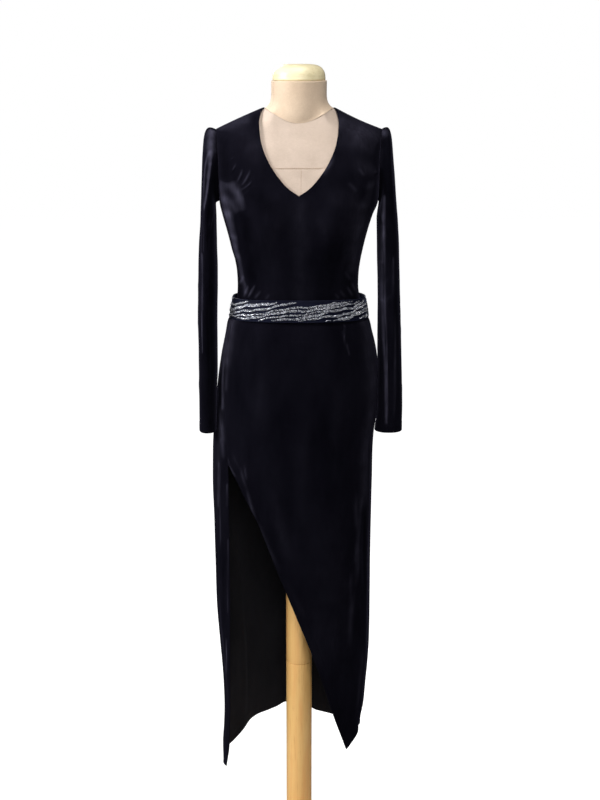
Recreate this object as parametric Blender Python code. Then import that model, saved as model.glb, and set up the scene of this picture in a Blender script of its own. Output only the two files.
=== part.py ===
"""Long-sleeved V-neck evening dress in dark stretch velvet, with its beaded belt,
standing on the limbless linen dress form that it is dressed on.

Metres, +Z up, the floor under the foot is z = 0 and the pole stands on the z axis.
The front of the dress looks along -Y, and +X is to the right of someone who faces it.

Every piece of cloth is a wall: a surface worked out from short tables of named
sizes, laid out as the piece that would be cut, and thickened inwards.
"""
import math

import bpy
import numpy as np

for old in list(bpy.data.objects):
    bpy.data.objects.remove(old, do_unlink=True)

MM = 0.001

# ------------------------------------------------------------------ driving sizes
CLOTH = 1.5 * MM            # velvet wall
BELT_WALL = 2.0 * MM        # stiffened belt band
SEAM = 0.3 * MM             # gap between two pieces at a seam
EASE = 2.0 * MM             # air between the dress and the form under it

WAIST_SEAM_Z = 1.282        # under the belt
UNDERARM_Z = 1.499
HPS_X, HPS_Z = 0.0745, 1.690        # high point of the shoulder, at the neck
TIP_X, TIP_Z = 0.1730, 1.6460       # shoulder point, where the sleeve is set in
# how far the seam hangs hollow between its ends, on the left and on the right
SHOULDER_DIP = {-1: -0.001, 1: 0.0025}
SHOULDER_ROUND = 0.040      # drop over which the cloth rolls over the shoulder
V_TIP_Z = 1.519             # depth of the V neck
BACK_NECK_Z = 1.672         # centre of the back neck

ARMHOLE_Y, ARMHOLE_Z = 0.010, 1.5725  # middle of the armhole, seen from the side
ARMHOLE_HIGH = 0.0735
ARMHOLE_FRONT, ARMHOLE_BACK = 0.048, 0.052

BUST_X, BUST_Z, BUST_OUT = 0.080, 1.452, 0.015
BUST_WIDE, BUST_TALL = 0.042, 0.055

SLIT_TOP_Z = 0.944
CUFF_Z = 1.013
HIP_CLEAR = 2.0 * MM         # sleeves hang just clear of the hips
HEAD_OUT = {-1: 0.020, 1: 0.012}    # how far each sleeve's head stands out at first
HEAD_DROP = {-1: 0.009, 1: 0.016}   # and how much steeper than the tube it falls

POLE_R = 0.0292
POLE_JOINT_Z = 0.4615
FORM_BOTTOM_Z = 0.955
NECK_R = 0.0572
CAP_BOTTOM_Z, CAP_TOP_Z = 1.7450, 1.7775
PLATE_R, PLATE_H = 0.150, 0.018
COLLAR_R, COLLAR_H = 0.044, 0.030


# ------------------------------------------------------------------ tables of sizes
class Table:
    """Rows of named columns, read between the rows along a smooth curve that
    never overshoots them. The first column is the key."""

    def __init__(self, columns, rows):
        self.names = columns.split()
        self.rows = np.array(sorted(rows), dtype=float)

    def __call__(self, name, key):
        x = self.rows[:, 0]
        y = self.rows[:, self.names.index(name)]
        h = np.diff(x)
        d = np.diff(y) / h
        m = np.zeros_like(y)
        m[0], m[-1] = d[0], d[-1]
        same = d[:-1] * d[1:] > 0
        w1, w2 = 2 * h[1:] + h[:-1], h[1:] + 2 * h[:-1]
        safe0 = np.where(same, d[:-1], 1.0)
        safe1 = np.where(same, d[1:], 1.0)
        m[1:-1] = np.where(same, (w1 + w2) / (w1 / safe0 + w2 / safe1), 0.0)
        k = np.clip(np.asarray(key, dtype=float), x[0], x[-1])
        i = np.clip(np.searchsorted(x, k) - 1, 0, len(h) - 1)
        t = (k - x[i]) / h[i]
        return ((2 * t ** 3 - 3 * t ** 2 + 1) * y[i] + (t ** 3 - 2 * t ** 2 + t) * h[i] * m[i]
                + (3 * t ** 2 - 2 * t ** 3) * y[i + 1] + (t ** 3 - t ** 2) * h[i] * m[i + 1])


# Outside of the bodice: half widths to each side, depths to the front and the back
# of the section's middle, how square each section is, and where its middle lies.
FIGURE = Table("z left right front back nf nb mid", [
    (1.245, 0.1520, 0.1510, 0.1040, 0.0980, 2.15, 2.20, 0.0),
    (1.258, 0.1445, 0.1440, 0.0985, 0.0920, 2.15, 2.20, 0.0),
    (1.270, 0.1395, 0.1390, 0.0960, 0.0885, 2.15, 2.20, 0.0),
    (1.285, 0.1345, 0.1335, 0.0940, 0.0860, 2.15, 2.20, 0.0),
    (1.300, 0.1310, 0.1285, 0.0930, 0.0845, 2.15, 2.20, 0.0),
    (1.325, 0.1300, 0.1255, 0.0935, 0.0840, 2.15, 2.20, 0.0),
    (1.350, 0.1308, 0.1265, 0.0955, 0.0860, 2.20, 2.20, 0.0),
    (1.374, 0.1345, 0.1297, 0.0985, 0.0890, 2.20, 2.25, 0.0),
    (1.400, 0.1418, 0.1350, 0.1030, 0.0930, 2.25, 2.30, 0.0),
    (1.437, 0.1508, 0.1437, 0.1075, 0.0980, 2.30, 2.40, 0.0),
    (1.470, 0.1598, 0.1538, 0.1095, 0.1010, 2.40, 2.50, 0.0),
    (1.500, 0.1660, 0.1650, 0.1095, 0.1025, 2.60, 2.70, 0.0),
    (1.550, 0.1690, 0.1685, 0.1015, 0.1010, 3.10, 3.10, 0.003),
    (1.580, 0.1700, 0.1695, 0.0940, 0.0975, 3.40, 3.30, 0.005),
    (1.610, 0.1715, 0.1710, 0.0850, 0.0905, 3.50, 3.40, 0.007),
    (1.640, 0.1745, 0.1740, 0.0745, 0.0800, 3.40, 3.30, 0.010),
    (1.661, 0.1765, 0.1760, 0.0660, 0.0700, 3.20, 3.20, 0.010),
    (1.691, 0.1790, 0.1785, 0.0560, 0.0560, 3.00, 3.00, 0.010),
    (1.720, 0.1800, 0.1800, 0.0500, 0.0500, 3.00, 3.00, 0.010),
])

# Half width of the V neck at each height.
V_NECK = Table("z half", [
    (1.5190, 0.0000), (1.5330, 0.0215), (1.5540, 0.0410), (1.5760, 0.0565),
    (1.5980, 0.0680), (1.6200, 0.0760), (1.6420, 0.0800), (1.6640, 0.0815),
    (1.6820, 0.0785), (1.6900, 0.0745)])

# Half width of the back neck at each height.
BACK_NECK = Table("z half", [
    (1.6720, 0.0000), (1.6730, 0.0250), (1.6770, 0.0480), (1.6840, 0.0660),
    (1.6900, 0.0745)])

# The column skirt, waist to hem. It hangs clear of the form below the hips.
SKIRT = Table("z left right front back nf nb", [
    (0.200, 0.1745, 0.1400, 0.1030, 0.1330, 2.20, 2.25),
    (0.260, 0.1750, 0.1395, 0.1030, 0.1325, 2.20, 2.25),
    (0.311, 0.1722, 0.1405, 0.1025, 0.1310, 2.20, 2.25),
    (0.361, 0.1710, 0.1482, 0.1020, 0.1290, 2.20, 2.25),
    (0.411, 0.1720, 0.1520, 0.1015, 0.1275, 2.20, 2.25),
    (0.460, 0.1746, 0.1560, 0.1010, 0.1260, 2.20, 2.25),
    (0.509, 0.1782, 0.1583, 0.1005, 0.1250, 2.20, 2.25),
    (0.605, 0.1848, 0.1590, 0.1005, 0.1235, 2.20, 2.25),
    (0.701, 0.1862, 0.1588, 0.1015, 0.1225, 2.20, 2.25),
    (0.795, 0.1874, 0.1592, 0.1035, 0.1220, 2.20, 2.25),
    (0.887, 0.1893, 0.1600, 0.1065, 0.1225, 2.20, 2.25),
    (0.956, 0.1882, 0.1606, 0.1095, 0.1245, 2.20, 2.25),
    (1.001, 0.1858, 0.1625, 0.1115, 0.1260, 2.20, 2.25),
    (1.046, 0.1818, 0.1688, 0.1135, 0.1275, 2.20, 2.25),
    (1.069, 0.1787, 0.1705, 0.1145, 0.1280, 2.20, 2.25),
    (1.113, 0.1749, 0.1708, 0.1150, 0.1270, 2.20, 2.25),
    (1.157, 0.1690, 0.1690, 0.1140, 0.1225, 2.20, 2.25),
    (1.179, 0.1654, 0.1664, 0.1130, 0.1185, 2.20, 2.25),
    (1.201, 0.1608, 0.1619, 0.1110, 0.1130, 2.20, 2.25),
    (1.223, 0.1562, 0.1562, 0.1085, 0.1060, 2.18, 2.22),
    (1.245, 0.1520, 0.1510, 0.1040, 0.0980, 2.15, 2.20),
    (1.258, 0.1445, 0.1440, 0.0985, 0.0920, 2.15, 2.20),
    (1.270, 0.1395, 0.1390, 0.0960, 0.0885, 2.15, 2.20),
    (1.285, 0.1345, 0.1335, 0.0940, 0.0860, 2.15, 2.20),
])

# Left seam of the skirt down to the top of the slit, then the back panel's free
# edge down to its low corner: distance from the centre, to the left.
LEFT_EDGE = Table("z x", [
    (0.2150, 0.1658), (0.2400, 0.1620), (0.2700, 0.1580), (0.3350, 0.1560),
    (0.4350, 0.1545), (0.5350, 0.1530), (0.6300, 0.1518), (0.8200, 0.1513),
    (0.9100, 0.1514), (0.9440, 0.1520), (1.0300, 0.1570), (1.1200, 0.1600),
    (1.2000, 0.1560), (1.2820, 0.1330)])

# The front panel's free edge, from the top of the slit to its corner on the right.
FRONT_EDGE = Table("z x", [
    (0.2758, 0.1060), (0.3204, 0.0918), (0.3710, 0.0756), (0.4465, 0.0530),
    (0.5240, 0.0263), (0.5975, -0.0022), (0.6650, -0.0282), (0.7200, -0.0497),
    (0.7950, -0.0773), (0.8275, -0.0905), (0.8510, -0.1028), (0.8745, -0.1150),
    (0.8980, -0.1262), (0.9190, -0.1372), (0.9440, -0.1520)])

# Height of the hem round the skirt. The angle runs from the front (0 degrees) to
# the right side (90), the back (180) and the left side (270).
HEM = Table("angle z", [
    (40, 0.2740), (48, 0.2758), (57, 0.2890), (66, 0.3010), (78, 0.3080), (90, 0.3060),
    (115, 0.2860), (140, 0.2700), (156, 0.2675), (165, 0.2710), (172, 0.2820),
    (180, 0.2935), (188, 0.2965), (196, 0.2820), (204, 0.2715), (212, 0.2660),
    (220, 0.2595), (231, 0.2405), (243, 0.2210), (255, 0.2130), (275, 0.2110),
    (290, 0.2147), (315, 0.2150)])

# Soft hanging folds of the skirt: where each runs, how far round it reaches, how
# far it stands out (or in), and the heights between which it grows.
FOLDS = Table("angle width out z_from z_to", [
    (64, 9, 0.0030, 1.00, 0.55),
    (80, 7, -0.0035, 0.98, 0.50),
    (112, 10, 0.0050, 1.02, 0.45),
    (134, 11, -0.0055, 1.00, 0.40),
    (158, 12, 0.0060, 1.02, 0.40),
    (183, 12, -0.0060, 1.00, 0.45),
    (207, 11, 0.0055, 1.03, 0.40),
    (229, 10, -0.0060, 1.00, 0.42),
    (250, 9, 0.0045, 0.98, 0.50),
])

# Sleeves below the head: distance of the inner and the outer side from the centre,
# and how far the tube reaches to the front and to the back.
SLEEVE_LEFT = Table("z inner outer front back", [
    (1.010, 0.1765, 0.2142, -0.0690, 0.0150),
    (1.080, 0.1752, 0.2138, -0.0680, 0.0190),
    (1.160, 0.1736, 0.2134, -0.0680, 0.0240),
    (1.250, 0.1733, 0.2142, -0.0670, 0.0330),
    (1.330, 0.1718, 0.2124, -0.0630, 0.0410),
    (1.400, 0.1727, 0.2105, -0.0580, 0.0500),
    (1.460, 0.1735, 0.2066, -0.0520, 0.0580)])
SLEEVE_RIGHT = Table("z inner outer front back", [
    (1.010, 0.1620, 0.2215, -0.0640, 0.0060),
    (1.060, 0.1668, 0.2216, -0.0650, 0.0100),
    (1.160, 0.1666, 0.2188, -0.0660, 0.0210),
    (1.250, 0.1669, 0.2158, -0.0650, 0.0310),
    (1.330, 0.1663, 0.2128, -0.0620, 0.0410),
    (1.400, 0.1643, 0.2106, -0.0570, 0.0500),
    (1.460, 0.1635, 0.2075, -0.0520, 0.0580)])

# The belt: height of its edges and how far each edge stands out.
BELT = Table("v left right front back z_side z_front z_back", [
    (0.0, 0.1486, 0.1482, 0.1040, 0.0990, 1.2560, 1.2605, 1.2535),
    (0.5, 0.1452, 0.1452, 0.1022, 0.0960, 1.2762, 1.2817, 1.2738),
    (1.0, 0.1408, 0.1412, 0.1010, 0.0930, 1.2965, 1.3030, 1.2942)])


# ------------------------------------------------------------------ surfaces
def bulge(u, n):
    """Height of a rounded section over the fraction u of its half width."""
    return np.maximum(1.0 - np.abs(u) ** n, 0.0) ** (1.0 / n)


def smooth(t):
    t = np.clip(t, 0.0, 1.0)
    return t * t * (3.0 - 2.0 * t)


def shoulder_height(x):
    along = (np.abs(x) - HPS_X) / (TIP_X - HPS_X)
    hang = np.where(np.asarray(x) < 0, SHOULDER_DIP[-1], SHOULDER_DIP[1])
    dip = hang * np.sin(math.pi * np.clip(along, 0.0, 1.0))
    return HPS_Z - along * (HPS_Z - TIP_Z) - dip


def torso_y(x, z, back=False, inset=0.0, neck_fillet=0.0):
    """Depth of the torso's surface at (x, z), to the front or to the back. The form
    under the cloth is inset, a little more where the cloth rolls over the shoulder."""
    side = np.where(x < 0, FIGURE("left", z), FIGURE("right", z)) - inset
    spare = np.ones_like(x + 0.0) if back else smooth((np.abs(x) - 0.050) / 0.04)
    deep = FIGURE("back" if back else "front", z) - inset * (
        1.0 + 0.9 * smooth((z - 1.52) / 0.06) * spare
        + (0.7 * smooth((z - 1.63) / 0.03) if back else 0.0))
    square = FIGURE("nb" if back else "nf", z)
    profile = bulge(np.minimum(np.abs(x) / side, 1.0), square)
    top = (shoulder_height(x) - inset * (1.0 + smooth((np.abs(x) - 0.066) / 0.02))
           + neck_fillet * np.exp(-(np.abs(x) - NECK_R) / 0.006))
    roll = np.clip((top - z) / SHOULDER_ROUND, 0.0, 1.0)
    roll = np.sqrt(np.maximum(1.0 - (1.0 - roll) ** 2, 0.0))
    depth = deep * profile
    if not back:
        depth = depth + BUST_OUT * profile * np.exp(
            -((np.abs(x) - BUST_X) / BUST_WIDE) ** 2 - ((z - BUST_Z) / BUST_TALL) ** 2)
    depth = depth * roll
    return FIGURE("mid", z) + (depth if back else -depth)


def armhole(phi, side):
    """Points of the armhole's seam. phi is 0 at the shoulder point, grows forward to
    pi at the underarm, and is negative round the back."""
    phi = np.atleast_1d(np.asarray(phi, dtype=float))
    theta, back = np.abs(phi), phi < 0
    z = ARMHOLE_Z + ARMHOLE_HIGH * np.cos(theta)
    y = (ARMHOLE_Y * (1.0 - smooth((theta - 2.0) / 1.1))
         + np.where(back, ARMHOLE_BACK, -ARMHOLE_FRONT) * np.sin(theta))
    low = np.full_like(z, 0.10)
    high = np.where(side < 0, FIGURE("left", z), FIGURE("right", z))
    for _ in range(40):
        x = 0.5 * (low + high)
        here = np.where(back, torso_y(side * x, z, True), torso_y(side * x, z, False))
        inside = np.where(back, here > y, here < y)
        low, high = np.where(inside, x, low), np.where(inside, high, x)
    x = np.where(theta < 1e-6, TIP_X, 0.5 * (low + high))
    z = np.where(theta < 1e-6, TIP_Z, z)
    return np.stack([side * x, y, z], axis=-1)


def torso_normal(x, z, back=False):
    """Outward direction of the torso's surface at (x, z)."""
    e = 1e-4
    dx = (torso_y(x + e, z, back) - torso_y(x - e, z, back)) / (2 * e)
    dz = (torso_y(x, z + e, back) - torso_y(x, z - e, back)) / (2 * e)
    n = np.array([float(dx), -1.0, float(dz)]) * (-1.0 if back else 1.0)
    return n / np.linalg.norm(n)


def armhole_frame(phi, side):
    """The seam's point, the direction in which both pieces are thickened there, and
    the direction away from the bodice into the sleeve."""
    p = armhole(phi, side)[0]
    tangent = armhole(phi + 0.03, side)[0] - armhole(phi - 0.03, side)[0]
    tangent /= np.linalg.norm(tangent)
    theta = abs(phi)
    if theta < 0.05:
        nb = np.array([side * (HPS_Z - TIP_Z) / (TIP_X - HPS_X), 0.0, 1.0])
    elif theta > math.pi - 0.05:
        nb = np.array([float(side), 0.0, 0.0])
    else:
        nb = torso_normal(p[0] - side * 0.0015, p[2], phi < 0)
    nb /= np.linalg.norm(nb)
    ns = np.cross(tangent, sleeve_start(phi, side))
    ns /= np.linalg.norm(ns)
    if ns @ np.array([0.0, p[1] - ARMHOLE_Y, p[2] - ARMHOLE_Z]) < 0:
        ns = -ns
    n = nb + ns
    n -= (n @ tangent) * tangent
    n /= np.linalg.norm(n)
    away = np.cross(tangent, n)
    if away @ sleeve_start(phi, side) < 0:
        away = -away
    return p, n, away


def sleeve_start(phi, side):
    """Direction in which the sleeve leaves the armhole."""
    up, back = math.cos(phi), phi < 0
    return np.array([side * (0.012 + HEAD_OUT[side] * max(up, 0)),
                     (0.012 if back else -0.012) * math.sin(abs(phi)),
                     0.016 * up if up > 0 else 0.003 * up])


def skirt_fold(angle, z):
    """How far the skirt stands out in its soft folds."""
    out = np.zeros(np.broadcast(angle, z).shape)
    for centre, width, amount, z_from, z_to in FOLDS.rows:
        grow = smooth((z_from - z) / (z_from - z_to))
        out = out + amount * grow * np.exp(-((angle - centre) / width) ** 2)
    return out


def skirt_point(angle, z):
    """Outside of the skirt at an angle in degrees, front 0, right 90, back 180."""
    a = np.radians(angle)
    s, c = np.sin(a), np.cos(a)
    side = np.where(s < 0, SKIRT("left", z), SKIRT("right", z))
    deep = np.where(c > 0, SKIRT("front", z), SKIRT("back", z))
    n = np.where(c > 0, SKIRT("nf", z), SKIRT("nb", z))
    x = side * np.sign(s) * np.abs(s) ** (2.0 / n)
    y = -deep * np.sign(c) * np.abs(c) ** (2.0 / n)
    r = np.sqrt(x * x + y * y)
    grow = 1.0 + skirt_fold(angle, z) / r
    return np.stack([x * grow, y * grow, z + np.zeros_like(x)], axis=-1)


def skirt_angle(x, z):
    """Angle on the front of the skirt of the point that is x from the centre,
    from -90 at the left side to 90 at the right."""
    side = np.where(x < 0, SKIRT("left", z), SKIRT("right", z))
    u = np.clip(np.abs(x) / side, 0.0, 1.0)
    return np.sign(x) * np.degrees(np.arcsin(u ** (SKIRT("nf", z) / 2.0)))


# ------------------------------------------------------------------ materials
def material(name, colour, roughness, metallic=0.0):
    m = bpy.data.materials.new(name)
    m.use_nodes = True
    shader = m.node_tree.nodes["Principled BSDF"]
    shader.inputs["Base Color"].default_value = (*colour, 1.0)
    shader.inputs["Roughness"].default_value = roughness
    shader.inputs["Metallic"].default_value = metallic
    m.diffuse_color = (*colour, 1.0)
    return m


VELVET_A = material("velvet_front", (0.010, 0.010, 0.030), 0.75)
VELVET_B = material("velvet_back", (0.012, 0.012, 0.034), 0.75)
VELVET_C = material("velvet_sleeve", (0.011, 0.011, 0.032), 0.75)
BAND = material("beaded_band", (0.20, 0.21, 0.28), 0.40, 0.2)
LINEN = material("linen", (0.72, 0.60, 0.50), 0.85)
LINEN_NECK = material("linen_neck", (0.74, 0.63, 0.53), 0.85)
CAP_WOOD = material("cap_wood", (0.86, 0.77, 0.58), 0.45)
POLE_WOOD = material("pole_wood", (0.74, 0.52, 0.32), 0.45)
FOOT_WOOD = material("foot_wood", (0.66, 0.45, 0.27), 0.50)


# ------------------------------------------------------------------ mesh building
class Piece:
    """A surface of quads that share their corners, then thickened into a wall."""

    def __init__(self):
        self.points, self.index, self.faces, self.set_normals = [], {}, [], {}

    def point(self, p):
        key = tuple(int(round(v * 1e7)) for v in p)
        if key not in self.index:
            self.index[key] = len(self.points)
            self.points.append(np.array(p, dtype=float))
        return self.index[key]

    def patch(self, grid, flip=False):
        ids = [[self.point(p) for p in row] for row in grid]
        for a, b in zip(ids, ids[1:]):
            for j in range(len(a) - 1):
                quad = [a[j], a[j + 1], b[j + 1], b[j]]
                quad = [v for k, v in enumerate(quad) if v not in quad[:k]]
                if len(quad) >= 3:
                    self.faces.append(quad[::-1] if flip else quad)

    def aim(self, points, normals):
        """Set the direction in which an edge is thickened, so that seams meet."""
        for p, n in zip(points, normals):
            n = np.array(n, dtype=float)
            self.set_normals[self.point(p)] = n / np.linalg.norm(n)

    def normals(self):
        total = np.zeros((len(self.points), 3))
        pts = np.array(self.points)
        for f in self.faces:
            a, b, c = pts[f[0]], pts[f[1]], pts[f[2]]
            n = np.cross(b - a, c - a)
            if len(f) == 4:
                d = pts[f[3]]
                n = n + np.cross(c - a, d - a)
            for v in f:
                total[v] += n
        total /= np.linalg.norm(total, axis=1)[:, None]
        for i, n in self.set_normals.items():
            total[i] = n
        return total

    def wall(self, name, thickness, mat):
        outer = np.array(self.points)
        inner = outer - thickness * self.normals()
        count = len(outer)
        faces = [list(f) for f in self.faces]
        faces += [[v + count for v in reversed(f)] for f in self.faces]
        edges = {}
        for f in self.faces:
            for a, b in zip(f, f[1:] + f[:1]):
                edges[(a, b)] = True
        for a, b in edges:
            if (b, a) not in edges:
                faces.append([b, a, a + count, b + count])
        return solid(name, np.vstack([outer, inner]), faces, mat)


def solid(name, points, faces, mat):
    mesh = bpy.data.meshes.new(name)
    mesh.from_pydata([tuple(p) for p in points], [], [tuple(f) for f in faces])
    mesh.validate()
    mesh.update()
    mesh.shade_smooth()
    mesh.set_sharp_from_angle(angle=math.radians(50))
    obj = bpy.data.objects.new(name, mesh)
    bpy.context.scene.collection.objects.link(obj)
    obj.data.materials.append(mat)
    return obj


def lathe(name, profile, mat, steps=36):
    """A turned solid from (radius, height) rows, bottom to top."""
    points, rings = [], []
    for r, z in profile:
        if r < 1e-9:
            rings.append([len(points)] * steps)
            points.append((0.0, 0.0, z))
        else:
            rings.append(list(range(len(points), len(points) + steps)))
            points += [(r * math.cos(2 * math.pi * k / steps),
                        r * math.sin(2 * math.pi * k / steps), z) for k in range(steps)]
    faces = []
    for a, b in zip(rings, rings[1:]):
        for k in range(steps):
            j = (k + 1) % steps
            quad = [a[k], a[j], b[j], b[k]]
            quad = [v for i, v in enumerate(quad) if v not in quad[:i]]
            if len(quad) >= 3:
                faces.append(quad)
    if profile[0][0] > 1e-9:
        faces.append(rings[0][::-1])
    if profile[-1][0] > 1e-9:
        faces.append(rings[-1])
    return solid(name, points, faces, mat)


def lerp(a, b, t):
    return a + (b - a) * t


# ------------------------------------------------------------------ bodice
HALF_COLS = 9
STRAP_ROWS = 9
LOWER_HEIGHTS = [WAIST_SEAM_Z + 0.5 * SEAM, 1.297, 1.318, 1.345, 1.375, 1.405,
                 1.435, 1.462, 1.483, UNDERARM_Z]


def neck_edge(t, back):
    """Inner edge of the strap at t, 0 at the underarm's row and 1 at the shoulder."""
    if back:
        join = 2 / 3
        if t <= join:
            return 0.0, lerp(UNDERARM_Z, BACK_NECK_Z, t / join)
        half = HPS_X * math.sin(0.5 * math.pi * (t - join) / (1 - join))
        low = BACK_NECK.rows[:, 1]
        return half, float(np.interp(half, low, BACK_NECK.rows[:, 0]))
    z = HPS_Z - (HPS_Z - V_TIP_Z) * (1 - t) ** 1.35
    return float(V_NECK("half", z)), z


def bodice_half(side, back):
    """Grid of (x, y, z) points of one half, from the centre or neck edge out to the
    side seam or armhole, waist up to the shoulder seam."""
    gap = 0.5 * SEAM * (1 if back else -1)
    rows = []
    s = np.linspace(0.0, 1.0, HALF_COLS + 1)
    for z in LOWER_HEIGHTS[:-1]:
        wide = float(FIGURE("left" if side < 0 else "right", z))
        # the centre of the row rises a little towards the foot of the V
        x = side * wide * np.sin(0.5 * math.pi * s)
        y = torso_y(x, np.full_like(x, z), back)
        y[-1] = float(FIGURE("mid", z)) + gap
        rows.append(np.stack([x, y, np.full_like(x, z)], axis=-1))
    for k in range(STRAP_ROWS + 1):
        t = k / STRAP_ROWS
        xi, zi = neck_edge(t, back)
        xo, _, zo = armhole(math.pi * (1 - t) * (-1 if back else 1), side)[0]
        ease = lerp(np.sin(0.5 * math.pi * s), s, smooth(t * 1.6))
        x = lerp(side * xi, xo, ease)
        z = lerp(zi, zo, lerp(s ** 1.5, s, smooth(t * 2.0)))
        z = np.minimum(z, shoulder_height(x))
        y = torso_y(x, z, back)
        if k == 0:
            y[-1] = float(FIGURE("mid", zo)) + gap
        if k == STRAP_ROWS:
            z = shoulder_height(x)
            y = FIGURE("mid", z) + gap
        rows.append(np.stack([x, y, z], axis=-1))
    return np.array(rows)


def build_bodice(name, back, mat):
    piece = Piece()
    slope = (HPS_Z - TIP_Z) / (TIP_X - HPS_X)
    for side in (-1, 1):
        grid = bodice_half(side, back)
        piece.patch(grid, flip=(side > 0) == back)
        lower = len(LOWER_HEIGHTS) - 1
        piece.aim(grid[:lower + 1, -1], [(side, 0, 0)] * (lower + 1))
        waist = []
        for p in grid[0]:
            wide = float(FIGURE("left" if side < 0 else "right", p[2]))
            deep = float(FIGURE("back" if back else "front", p[2]))
            waist.append((p[0] / wide ** 2, p[1] / deep ** 2, 0.0))
        piece.aim(grid[0], waist)
        piece.aim(grid[0, -1:], [(side, 0, 0)])
        piece.aim(grid[-1], [(side * slope, 0, 1)] * (HALF_COLS + 1))
        for k in range(STRAP_ROWS):
            phi = math.pi * (1 - k / STRAP_ROWS) * (-1 if back else 1)
            piece.aim([grid[lower + k, -1]], [armhole_frame(phi, side)[1]])
    return piece.wall(name, CLOTH, mat)


build_bodice("bodice_front", False, VELVET_A)
build_bodice("bodice_back", True, VELVET_B)


# ------------------------------------------------------------------ sleeves
HEAD_ROWS = 6
TUBE_HEIGHTS = [1.425, 1.390, 1.350, 1.310, 1.270, 1.230, 1.190, 1.150, 1.112,
                1.076, 1.043, CUFF_Z]


def sleeve_ring(side, z, theta, back):
    """Point of the hanging tube. theta 0 is its outer side, pi its inner side."""
    table = SLEEVE_LEFT if side < 0 else SLEEVE_RIGHT
    inner, outer = float(table("inner", z)), float(table("outer", z))
    front, rear = float(table("front", z)), float(table("back", z))
    a, b = 0.5 * (outer - inner), 0.5 * (rear - front)
    c, s = math.cos(theta), math.sin(theta)
    n = 2.4
    x = 0.5 * (inner + outer) + a * math.copysign(abs(c) ** (2 / n), c)
    y = 0.5 * (front + rear) + b * abs(s) ** (2 / n) * (1 if back else -1)
    # the tube hangs just clear of the hip
    deep = float(SKIRT("front" if y < 0 else "back", z))
    hip = float(SKIRT("left" if side < 0 else "right", z)) * float(bulge(y / deep, 2.2))
    x = max(x, hip + HIP_CLEAR)
    return np.array([side * x, y, z])


def build_sleeve(name, side, mat):
    piece = Piece()
    phis = [math.pi * (1 - k / STRAP_ROWS) for k in range(2 * STRAP_ROWS)]
    columns, rim = [], []
    for phi in phis:
        theta, back = abs(phi), phi < 0
        seam, normal, away = armhole_frame(phi, side)
        start = seam + away * 1.3 * SEAM
        end = sleeve_ring(side, 1.460, theta, back)
        out1 = sleeve_start(phi, side)
        up = math.cos(phi)
        out2 = np.array([-side * HEAD_DROP[side] * max(up, 0), 0.0, 0.030 + 0.0675 * (1 + up)])
        column = []
        for i in range(HEAD_ROWS + 1):
            t = i / HEAD_ROWS
            column.append((1 - t) ** 3 * start + 3 * (1 - t) ** 2 * t * (start + out1)
                          + 3 * (1 - t) * t * t * (end + out2) + t ** 3 * end)
        for z_ring in TUBE_HEIGHTS:
            column.append(sleeve_ring(side, z_ring, theta, back))
        columns.append(column)
        rim.append(normal)
    grid = [[columns[j % len(columns)][i] for j in range(len(columns) + 1)]
            for i in range(len(columns[0]))]
    piece.patch(grid, flip=side > 0)
    piece.aim(grid[0][:-1], rim)
    return piece.wall(name, CLOTH, mat)


build_sleeve("sleeve_left", -1, VELVET_C)
build_sleeve("sleeve_right", 1, VELVET_C)


# ------------------------------------------------------------------ skirt
SEAM_HEIGHTS = [WAIST_SEAM_Z - 0.5 * SEAM, 1.262, 1.240, 1.205, 1.160, 1.110,
                1.055, 1.000, SLIT_TOP_Z]
BACK_COLS, FRONT_COLS = 22, 16
LOWER_ROWS = 10


def edge_tangent(angle, z):
    a, b = skirt_point(angle - 0.5, z), skirt_point(angle + 0.5, z)
    t = (b - a).reshape(-1, 3)[0]
    return t / np.linalg.norm(t)


def skirt_normal(angle, z):
    t = edge_tangent(angle, z)
    n = np.array([t[1], -t[0], 0.0])
    return n / np.linalg.norm(n)


def skirt_back_rows():
    """Rows from the right seam, round the back, to the left seam or free edge."""
    rows = []
    s = np.linspace(0.0, 1.0, BACK_COLS + 1)
    tip_z = LEFT_EDGE.rows[0, 0]
    heights = list(SEAM_HEIGHTS) + [None] * LOWER_ROWS
    for i, z_edge in enumerate(heights):
        if z_edge is None:
            t = (i - len(SEAM_HEIGHTS) + 1) / LOWER_ROWS
            z_edge = lerp(SLIT_TOP_Z, tip_z, t)
        else:
            t = 0.0
        end = 360.0 + float(skirt_angle(-LEFT_EDGE("x", z_edge), z_edge))
        angle = lerp(90.0, end, s)
        z = np.full_like(angle, z_edge)
        if t > 0:
            hem = HEM("z", angle)
            hem[-1] = tip_z
            z = lerp(SLIT_TOP_Z, hem, t)
        rows.append((angle, z))
    return rows


def build_skirt_back():
    piece = Piece()
    rows = skirt_back_rows()
    grid = []
    for i, (angle, z) in enumerate(rows):
        p = skirt_point(angle, z)
        p[0, 1] = 0.5 * SEAM
        p[-1] -= edge_tangent(angle[-1], z[-1]) * 0.5 * SEAM
        grid.append(p)
    piece.patch(grid, flip=True)
    for i, (angle, z) in enumerate(rows):
        piece.aim([grid[i][0]], [(1, 0, 0)])
        piece.aim([grid[i][-1]], [skirt_normal(angle[-1], z[-1])])
    piece.aim(grid[0][1:-1], [skirt_normal(a, rows[0][1][0]) for a in rows[0][0][1:-1]])
    return piece.wall("skirt_back", CLOTH, VELVET_B)


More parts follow.
